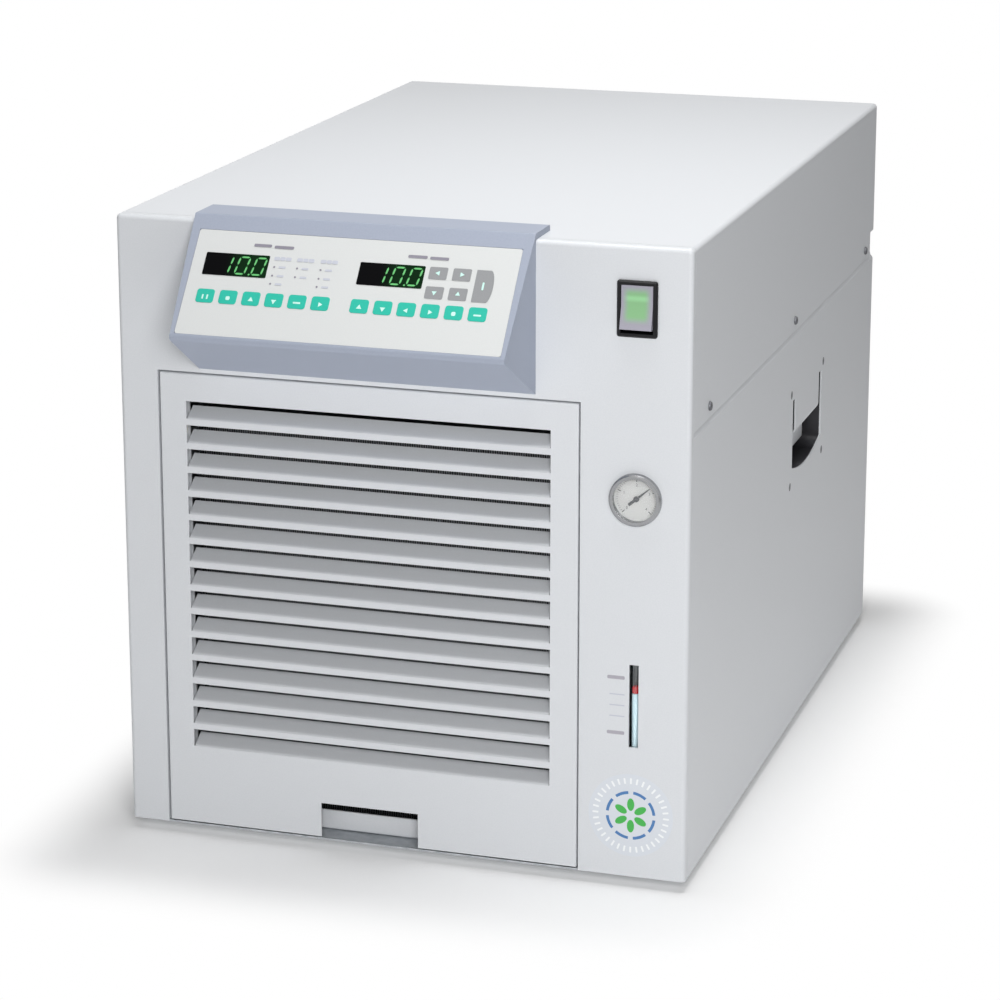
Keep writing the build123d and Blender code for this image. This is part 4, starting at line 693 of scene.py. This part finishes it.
smoked = finish["display_black"].copy()
smoked.name = "Smoked window over lit digits"
tree = smoked.node_tree
where = add(tree, "ShaderNodeUVMap", {"uv_map": "window"})
axes = add(tree, "ShaderNodeSeparateXYZ", None, {0: where.outputs[0]})
fade = add(tree, "ShaderNodeMapRange", {"interpolation_type": "SMOOTHSTEP"},
           {"Value": axes.outputs["X"], "From Min": 0.32, "From Max": 0.62, "To Max": 0.035})
shader = tree.nodes["shader"]
shader.inputs["Emission Color"].default_value = linear("#3FCF60")
tree.links.new(fade.outputs[0], shader.inputs["Emission Strength"])
lit = grained("Lit segment, green", ("#4E9A58", "#5AA864"), 0.5, 0.001, 0.5)
lit.node_tree.nodes["shader"].inputs["Emission Color"].default_value = linear("#6FD87C")
lit.node_tree.nodes["shader"].inputs["Emission Strength"].default_value = 0.22

for number, u in enumerate(WINDOW_U):
    x, y = film_point(u, WINDOW_V)
    mesh = plates(f"window_{number + 1}", [rounded(x, y, *WINDOW, 1.0, 2)], film_plane, PRINT_LIFT, 0.15)
    layer = mesh.uv_layers.new(name="window")
    back = film_plane.inverted()
    for loop in mesh.loops:
        spot = back @ mesh.vertices[loop.vertex_index].co / MM
        layer.data[loop.index].uv = ((spot.x - x) / WINDOW[0] + 0.5, (spot.y - y) / WINDOW[1] + 0.5)
    finished(f"window_{number + 1}", mesh, smoked)
    bars = []
    for i, figure in enumerate("100"):
        for kind in SEGMENTS[figure]:
            bars.append(segment(kind, x - 8.8 + 14.6 * i, y - 0.2))
    bars.append(round_shape(x + 13.0, y - DIGIT[1] / 2 - 0.4, 0.8, 10))
    finished(f"digits_{number + 1}", plates(f"digits_{number + 1}", bars, film_plane, 0.1, 0.1), lit)

# %% [markdown]
# ## Marks on the cabinet's front
#
# Beside the sight tube's slot the cabinet has printed level marks, a bar for each limit and thin lines
# between them. Low on the right there is a round sticker. It gets a plain pattern of rings, petals and
# ticks.

# %% Level marks and sticker
LEVEL_MARK_X = 439.2
level_bars = [bar(LEVEL_MARK_X, z, 15.0, 3.0) for z in (175.0, 126.7)]
level_lines = [bar(LEVEL_MARK_X + 1.0, z, 13.0, 1.0) for z in (160.3, 150.8, 141.3)]
finished("level_limits", plates("level_limits", level_bars, front_plane, PRINT_LIFT, PRINT_THICK), mark_ink)
finished("level_lines", plates("level_lines", level_lines, front_plane, PRINT_LIFT, PRINT_THICK), faint_ink)

STICKER = (452.9, 54.6)
STICKER_R = 36.5
sticker_film = grained("Vinyl sticker, pale blue-grey", ("#CFD4DB", "#D6DAE0"), 0.8, 0.004, 0.4)
sticker_white = grained("Sticker ink, white", ("#E9ECEE", "#F1F3F4"), 0.8, 0.002, 0.42)
sticker_green = grained("Sticker ink, green", ("#38A644", "#44B44E"), 0.8, 0.002, 0.4)
sticker_blue = grained("Sticker ink, blue", ("#3C6FA8", "#4A7DB4"), 0.8, 0.002, 0.4)
finished("sticker", plates("sticker", [round_shape(*STICKER, STICKER_R, 96)], front_plane, PRINT_LIFT, 0.12),
         sticker_film)
ring_mark = plates("tick", [bar(0, 0, 5.2, 1.6)], Matrix.Identity(4), 0.10, 0.06)
middle = (STICKER[0] * MM, STICKER[1] * MM, 0)
mesh = grown("sticker_ticks", ring_tree, ring_mark,
             {"Count": 36, "Radius": 30.5 * MM, "Begin": 0.0, "Step": math.radians(10), "Middle": middle,
              "Material": sticker_white}, front_plane)
finished("sticker_ticks", mesh, sticker_white)
PETAL_START, PETAL_HALF, PETAL_WIDE = 4.0, 5.6, 3.1
petal_turns = [2 * math.pi * k / 20 for k in range(20)]
petal = [(PETAL_START + PETAL_HALF * (1 - math.cos(a)), PETAL_WIDE * math.sin(a)) for a in petal_turns]
petal_mark = plates("petal", [petal], Matrix.Identity(4), 0.10, 0.06)
mesh = grown("sticker_petals", ring_tree, petal_mark,
             {"Count": 6, "Radius": 0.0, "Begin": math.radians(30), "Step": math.radians(60),
              "Middle": middle, "Material": sticker_green}, front_plane)
finished("sticker_petals", mesh, sticker_green)
arcs = [arc_band(*STICKER, 19.0, 21.5, k * 45 + 6, k * 45 + 39, 6) for k in range(8)]
finished("sticker_arcs", plates("sticker_arcs", arcs, front_plane, 0.10, 0.06), sticker_blue)

# %% [markdown]
# ## The water in the sight tube
#
# The float rides on the water. The column is copied from its solid as one mesh, with its corners merged and
# its edges shaded smooth, and it takes the solid's place.

# %% Water column
shape = bmesh.new()
shape.from_mesh(nodes["level_liquid"].data)
bmesh.ops.remove_doubles(shape, verts=shape.verts, dist=0.01 * MM)
water_mesh = bpy.data.meshes.new("water_column")
shape.to_mesh(water_mesh)
shape.free()
water_mesh.shade_smooth()
water_mesh.set_sharp_from_angle(angle=SHARP_ANGLE)
water_mesh.materials.append(finish["water"])
water = bpy.data.objects.new("water_column", water_mesh)
bpy.context.scene.collection.objects.link(water)
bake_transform(water)
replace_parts(water, "level_liquid")

# %% [markdown]
# ## The gauge's dial
#
# A pressure gauge this size has a white dial with a three-quarter scale: fine marks, longer ones at each
# whole step, and plain numbers inside them. The marks come from the ring tree. The numbers are text, made a
# mesh.

# %% Dial marks
dial_low, dial_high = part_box("gauge_dial")
dial_middle = (dial_low + dial_high) / 2
dial_r = (dial_high.x - dial_low.x) / 2 / MM
dial_plane = Matrix.Translation((dial_middle.x, dial_low.y, dial_middle.z)) @ Matrix(
    ((1, 0, 0), (0, 0, -1), (0, 1, 0))).to_4x4()
SCALE_BEGIN = math.radians(225)
SCALE_SWEEP = math.radians(-270)
dial_ink = grained("Dial ink, black", ("#2A2A2C", "#343436"), 0.3, 0.002, 0.5)
for name, count, radius, size in (("dial_steps", 5, dial_r - 3.4, (3.0, 0.7)),
                                  ("dial_marks", 41, dial_r - 2.6, (1.4, 0.28))):
    mark = plates(name, [bar(0, 0, *size)], Matrix.Identity(4), -0.02, 0.08)
    mesh = grown(name, ring_tree, mark,
                 {"Count": count, "Radius": radius * MM, "Begin": SCALE_BEGIN,
                  "Step": SCALE_SWEEP / (count - 1), "Middle": (0, 0, 0), "Material": dial_ink}, dial_plane)
    finished(name, mesh, dial_ink)


def number_mesh(text, size, spot, plane):
    """A plain number as a thin mesh at a place on a plane."""
    curve = bpy.data.curves.new("number", "FONT")
    curve.body, curve.size, curve.extrude = text, size * MM, 0.03 * MM
    curve.align_x, curve.align_y, curve.resolution_u = "CENTER", "CENTER", 3
    holder = bpy.data.objects.new("number", curve)
    mesh = bpy.data.meshes.new_from_object(holder)
    bpy.data.objects.remove(holder)
    mesh.transform(plane @ Matrix.Translation((spot[0] * MM, spot[1] * MM, 0.03 * MM)))
    return mesh


def joined(name, meshes):
    """Several meshes as one."""
    shape = bmesh.new()
    for mesh in meshes:
        shape.from_mesh(mesh)
    whole = bpy.data.meshes.new(name)
    shape.to_mesh(whole)
    shape.free()
    return whole


NUMBER_SIZE = 3.4
NUMBER_R = dial_r - 7.6
numbers = []
for i in range(5):
    angle = SCALE_BEGIN + SCALE_SWEEP * i / 4
    spot = (NUMBER_R * math.cos(angle), NUMBER_R * math.sin(angle))
    numbers.append(number_mesh(str(i), NUMBER_SIZE, spot, dial_plane))
finished("dial_numbers", joined("dial_numbers", numbers), dial_ink)

# %% [markdown]
# ## The coil's fins
#
# Behind the louvres stands the condenser: hundreds of thin aluminium fins pressed on copper tubes. Only
# their front edges can be seen, so a row of thin plates on the solid pack's front gives the look. The pack
# itself is near black: painted shade, standing for the dark gaps between the fins.

# %% Fins
coil_low, coil_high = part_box("condenser_coil")
shroud_low, shroud_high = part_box("fan_shroud")
FIN_PITCH = 2.1
FIN = (0.3, 2.6, 350.0)
PACK_EDGE = 10.0
PACK_SET_BACK = 3.0
fin_first = shroud_low.x + PACK_EDGE * MM
fin_count = int((shroud_high.x - shroud_low.x - 2 * PACK_EDGE * MM) / (FIN_PITCH * MM))
fin_y = coil_low.y + (PACK_SET_BACK - FIN[1] / 2 + 0.2) * MM
fin_z = (coil_low.z + coil_high.z) / 2
fin_outline = [(-FIN[0] / 2, -FIN[1] / 2), (FIN[0] / 2, -FIN[1] / 2), (FIN[0] / 2, FIN[1] / 2),
               (-FIN[0] / 2, FIN[1] / 2)]
fin_mark = plates("fin", [fin_outline], Matrix.Identity(4), -FIN[2] / 2, FIN[2])
mesh = grown("coil_fins", row_tree, fin_mark,
             {"Count": fin_count, "First": (fin_first, fin_y, fin_z), "Pitch": (FIN_PITCH * MM, 0, 0),
              "Material": fin_foil})
finished("coil_fins", mesh, fin_foil)

# %% [markdown]
# ## Turned pieces
#
# Screws and threaded ports are turned on a lathe, so one function makes both: it takes rings from one end
# to the other, and a ring's radius and height may change with the angle. A constant ring gives a round
# piece, one that follows a hexagon gives a collar, and a fine zigzag that climbs with the angle gives a
# thread.


# %% A lathe
def lathe(name, rings, steps, open_top=None):
    """A turned mesh about +Z from rings in millimetres: each is (radius, height), or a function of angle."""
    shape = bmesh.new()
    loops = []
    for ring in rings:
        spots = []
        for k in range(steps):
            angle = 2 * math.pi * k / steps
            radius, height = ring(angle) if callable(ring) else ring
            spot = Vector((radius * math.cos(angle), radius * math.sin(angle), height)) * MM
            spots.append(shape.verts.new(spot))
        loops.append(spots)
    for one, two in zip(loops, loops[1:]):
        for k in range(steps):
            shape.faces.new((one[k], one[(k + 1) % steps], two[(k + 1) % steps], two[k]))
    if open_top:
        open_top(shape, loops[0])
        shape.faces.new(loops[-1])
    else:
        for k in range(steps):
            after = (k + 1) % steps
            shape.faces.new((loops[-1][k], loops[-1][after], loops[0][after], loops[0][k]))
    bmesh.ops.recalc_face_normals(shape, faces=shape.faces)
    mesh = bpy.data.meshes.new(name)
    shape.to_mesh(mesh)
    shape.free()
    mesh.shade_smooth()
    mesh.set_sharp_from_angle(angle=SHARP_ANGLE)
    return mesh


def islands(node):
    """The boxes of a solid's separate pieces."""
    shape = bmesh.new()
    shape.from_mesh(nodes[node].data)
    bmesh.ops.remove_doubles(shape, verts=shape.verts, dist=0.01 * MM)
    left = set(shape.verts)
    boxes = []
    while left:
        reached = [left.pop()]
        for spot in reached:
            found = [e.other_vert(spot) for e in spot.link_edges if e.other_vert(spot) in left]
            left.difference_update(found)
            reached += found
        boxes.append((Vector([min(v.co[i] for v in reached) for i in range(3)]),
                      Vector([max(v.co[i] for v in reached) for i in range(3)])))
    shape.free()
    return boxes


# %% [markdown]
# ## Screws with a cross recess
#
# A pan head is 7.8 mm across and domed, and a flush head is a cone with a flat face. Both have a cross
# recess with sloping walls. The spots come from the solids' screws, so each new one stands in its own hole.


# %% Screws
SCREW_R = 3.9
SHANK_R = 2.0
SHANK_END = -11.0
PAN_RINGS = [(2.5, 0.0), (3.1, -0.16), (3.55, -0.5), (3.82, -1.1), (SCREW_R, -1.9), (3.8, -2.2),
             (SHANK_R, -2.2), (SHANK_R, SHANK_END)]
FLUSH_RINGS = [(3.8, 0.0), (SCREW_R, -0.1), (SHANK_R, -2.2), (SHANK_R, SHANK_END)]
CROSS = (1.95, 0.42, 1.3)


def cross_recess(shape, rim):
    """Closes a screw's top with a flat face round a cross-shaped hole."""
    reach, half, deep = CROSS
    corners = [(reach, half), (half, half), (half, reach)]
    outline = []
    for quarter in range(4):
        turn = math.radians(90 * quarter)
        for x, y in [(reach, -half)] + corners[:2]:
            outline.append((x * math.cos(turn) - y * math.sin(turn), x * math.sin(turn) + y * math.cos(turn)))
    high = [shape.verts.new((x * MM, y * MM, rim[0].co.z)) for x, y in outline]
    low = [shape.verts.new((x * 0.5 * MM, y * 0.62 * MM, rim[0].co.z - deep * MM)) for x, y in outline]
    count = len(outline)
    edges = [shape.edges.new((high[k], high[(k + 1) % count])) for k in range(count)]
    edges += [shape.edges.get((rim[k], rim[(k + 1) % len(rim)])) for k in range(len(rim))]
    bmesh.ops.triangle_fill(shape, edges=edges, use_beauty=True)
    for k in range(count):
        shape.faces.new((high[k], high[(k + 1) % count], low[(k + 1) % count], low[k]))
    shape.faces.new(low)


BOTH_SIDES = ((1, 0, 0), (-1, 0, 0))
BACK = ((0, 1, 0),)
for name, node, rings, sides in (("pan_screws_cover", "cover_screws", PAN_RINGS, BOTH_SIDES),
                                 ("pan_screws_rear", "rear_screws", PAN_RINGS, BACK),
                                 ("flush_screws_grips", "handle_screws", FLUSH_RINGS, BOTH_SIDES)):
    rows = []
    for side in sides:
        outward = Vector(side)
        turn = outward.to_track_quat("Z", "Y").to_euler()
        spots = []
        for low, high in islands(node):
            middle = (low + high) / 2
            if middle.dot(outward) > 0:
                reach = (high - low).dot(Vector([abs(c) for c in side])) / 2
                spots.append(middle + outward * reach)
        rows.append(grown(name, spot_tree, lathe(name + " mark", rings, 32, cross_recess),
                          {"Turn": turn, "Spin": 1.4, "Material": finish["screw_steel"]}, spots=spots))
    made = finished(name, joined(name, rows), finish["screw_steel"])
    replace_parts(made, node)

# %% [markdown]
# ## Threaded hose ports
#
# Each port at the back has a chamfered hexagon collar, a parallel pipe thread of fourteen turns to the
# inch, and a bore. The thread is a zigzag between its root and its crest that climbs one pitch a turn, and
# fades into a lead-in chamfer at its end.

# %% Ports
PORT_CREST = 13.2
PORT_ROOT = 12.05
PORT_PITCH = 1.814
PORT_LENGTH = 16.0
COLLAR_T = 9.0
COLLAR = 36.0


def hexagon(across, height, chamfer):
    """A hexagonal ring; with a chamfer its corners are turned down to a cone."""
    def ring(angle):
        off = (angle + math.pi / 6) % (math.pi / 3) - math.pi / 6
        radius = across / 2 / math.cos(off)
        return (radius, height - chamfer * (radius - across / 2) * 0.577)
    return ring


def thread_ring(height, start, length):
    """One ring of a thread at a height above its start."""
    def ring(angle):
        turn = ((height - start) / PORT_PITCH - angle / (2 * math.pi)) % 1.0
        zigzag = min(1.0, max(0.0, 1.25 * (1 - abs(2 * turn - 1)) - 0.125))
        fade = min(1.0, (start + length - height) / 1.6, (height - start) / 0.8)
        return (PORT_ROOT + (PORT_CREST - PORT_ROOT) * zigzag * max(0.0, fade), height)
    return ring


end = COLLAR_T + PORT_LENGTH
port_rings = [(5.5, -39.5), (5.5, end - 0.6), (6.1, end), (PORT_ROOT - 0.5, end)]
count = 90
port_rings += [thread_ring(end - 0.5 - (PORT_LENGTH - 0.8) * i / count, COLLAR_T + 0.3, PORT_LENGTH - 0.8)
               for i in range(count + 1)]
port_rings += [(PORT_ROOT, COLLAR_T), (COLLAR / 2 * 0.985, COLLAR_T), hexagon(COLLAR, COLLAR_T - 0.05, 1),
               hexagon(COLLAR, 0.0, 0), (12.1, 0.0), (12.1, -1.5), hexagon(COLLAR - 4, -1.5, 0),
               hexagon(COLLAR - 4, -9.4, 1), (COLLAR / 2 - 2.1, -9.5), (7.0, -9.5), (7.0, -39.5)]
port_spots = []
for low, high in islands("hose_ports"):
    port_spots.append(((low.x + high.x) / 2, high.y - end * MM, (low.z + high.z) / 2))
mesh = grown("threaded_ports", spot_tree, lathe("port mark", port_rings, 96),
             {"Turn": Vector((0, 1, 0)).to_track_quat("Z", "Y").to_euler(), "Spin": 0.0,
              "Material": finish["port_nickel"]}, spots=port_spots)
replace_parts(finished("threaded_ports", mesh, finish["port_nickel"]), "hose_ports")

# %% [markdown]
# ## Floor, light and camera
#
# The object stands on a plain white floor, under one soft box above it and one in front of it, so the top
# is brightest, the front a little darker and the right side in half shade. Each lamp is set so that a
# colour shows about as it is written. The world is white to the camera, to gloss and through glass, and
# otherwise nearly dark. The light that a white room would throw up from the ground comes from the floor,
# which glows faintly towards the object. To the camera the floor turns into plain white away from the
# object, and only the part around it takes a shadow.

# %% Floor
FLOOR_SIZE = 40.0
SHADOW_REACH = 0.11
floor_mesh = bpy.data.meshes.new("floor")
half = FLOOR_SIZE / 2
floor_mesh.from_pydata([(-half, -half, 0), (half, -half, 0), (half, half, 0), (-half, half, 0)], [],
                       [(0, 1, 2, 3)])
floor = bpy.data.objects.new("floor", floor_mesh)
bpy.context.scene.collection.objects.link(floor)
paper = bpy.data.materials.new("White paper floor")
paper.use_nodes = True
tree = paper.node_tree
tree.nodes.clear()
path = add(tree, "ShaderNodeLightPath")
matt = add(tree, "ShaderNodeBsdfDiffuse", None, {"Color": linear("#F8F8F8")})
glow = add(tree, "ShaderNodeEmission", None, {"Color": (1, 1, 1, 1), "Strength": 0.14})
bounce = add(tree, "ShaderNodeEmission", None, {"Color": (1, 1, 1, 1), "Strength": 0.26})
seen = add(tree, "ShaderNodeMixShader", None,
           {0: path.outputs["Is Camera Ray"], 1: bounce.outputs[0], 2: glow.outputs[0]})
both = add(tree, "ShaderNodeAddShader", None, {0: matt.outputs[0], 1: seen.outputs[0]})
white = add(tree, "ShaderNodeEmission", None, {"Color": (1, 1, 1, 1), "Strength": 1.0})
place = add(tree, "ShaderNodeTexCoord")
footprint = (solid_box[1].x, solid_box[1].y, 1.0)
mirrored = add(tree, "ShaderNodeVectorMath", {"operation": "ABSOLUTE"}, {0: place.outputs["Object"]})
beyond = add(tree, "ShaderNodeVectorMath", {"operation": "SUBTRACT"}, {0: mirrored.outputs[0], 1: footprint})
outside = add(tree, "ShaderNodeVectorMath", {"operation": "MAXIMUM"}, {0: beyond.outputs[0], 1: (0, 0, 0)})
distance = add(tree, "ShaderNodeVectorMath", {"operation": "LENGTH"}, {0: outside.outputs[0]})
fade = add(tree, "ShaderNodeMapRange", {"interpolation_type": "SMOOTHSTEP"},
           {"Value": distance.outputs["Value"], "From Min": 0.0, "From Max": SHADOW_REACH})
far = add(tree, "ShaderNodeMath", {"operation": "MULTIPLY"},
          {0: fade.outputs[0], 1: path.outputs["Is Camera Ray"]})
ground = add(tree, "ShaderNodeMixShader", None, {0: far.outputs[0], 1: both.outputs[0], 2: white.outputs[0]})
add(tree, "ShaderNodeOutputMaterial", None, {"Surface": ground.outputs[0]})
floor_mesh.materials.append(paper)
print("floor", FLOOR_SIZE, "m")

# %% World and lamps
WORLD_LIGHT = 0.04
world = bpy.data.worlds.new("Studio")
bpy.context.scene.world = world
world.use_nodes = True
tree = world.node_tree
tree.nodes.clear()
path = add(tree, "ShaderNodeLightPath")
straight = add(tree, "ShaderNodeMath", {"operation": "MAXIMUM"},
               {0: path.outputs["Is Camera Ray"], 1: path.outputs["Is Glossy Ray"]})
white = add(tree, "ShaderNodeMath", {"operation": "MAXIMUM"},
            {0: straight.outputs[0], 1: path.outputs["Is Transmission Ray"]})
strength = add(tree, "ShaderNodeMapRange", None,
               {"Value": white.outputs[0], "To Min": WORLD_LIGHT, "To Max": 1.0})
sky = add(tree, "ShaderNodeBackground", None, {"Color": (1, 1, 1, 1), "Strength": strength.outputs[0]})
add(tree, "ShaderNodeOutputWorld", None, {"Surface": sky.outputs[0]})


def lamp(name, place, target, size, power):
    """A square soft box that looks at a point."""
    light = bpy.data.lights.new(name, "AREA")
    light.size, light.energy = size, power
    made = bpy.data.objects.new(name, light)
    made.location = place
    made.rotation_mode = "QUATERNION"
    made.rotation_quaternion = (Vector(target) - Vector(place)).to_track_quat("-Z", "Y")
    bpy.context.scene.collection.objects.link(made)
    return made


lamp("front box", (0.75, -2.1, 1.0), (0.1, -0.3, 0.27), 0.8, 23.5)
lamp("top box", (0.2, -0.25, 1.9), (0.1, -0.15, 0.5), 1.0, 22.0)

# %% Camera
AZIMUTH = math.radians(17.389)
ELEVATION = math.radians(14.217)
CAMERA_PLACE = (0.8596, -2.8206, 1.0764)
LENS = 117.0
SHIFT_DOWN = -0.11
camera_data = bpy.data.cameras.new("camera")
camera_data.lens = LENS
camera_data.sensor_width = 36.0
camera_data.shift_y = SHIFT_DOWN
camera = bpy.data.objects.new("camera", camera_data)
camera.location = CAMERA_PLACE
camera.rotation_mode = "QUATERNION"
look = Vector((-math.sin(AZIMUTH) * math.cos(ELEVATION), math.cos(AZIMUTH) * math.cos(ELEVATION),
               -math.sin(ELEVATION)))
camera.rotation_quaternion = look.to_track_quat("-Z", "Y")
bpy.context.scene.collection.objects.link(camera)
bpy.context.scene.camera = camera
bpy.context.scene.view_settings.view_transform = "Standard"
print("camera at", CAMERA_PLACE)

# %% [markdown]
# ## Sizes
#
# The dressed object must be as large as its solids; the solids' box is printed once more at the end.

# %% Finish
print("solid box", [round(c, 4) for corner in solid_box for c in corner])
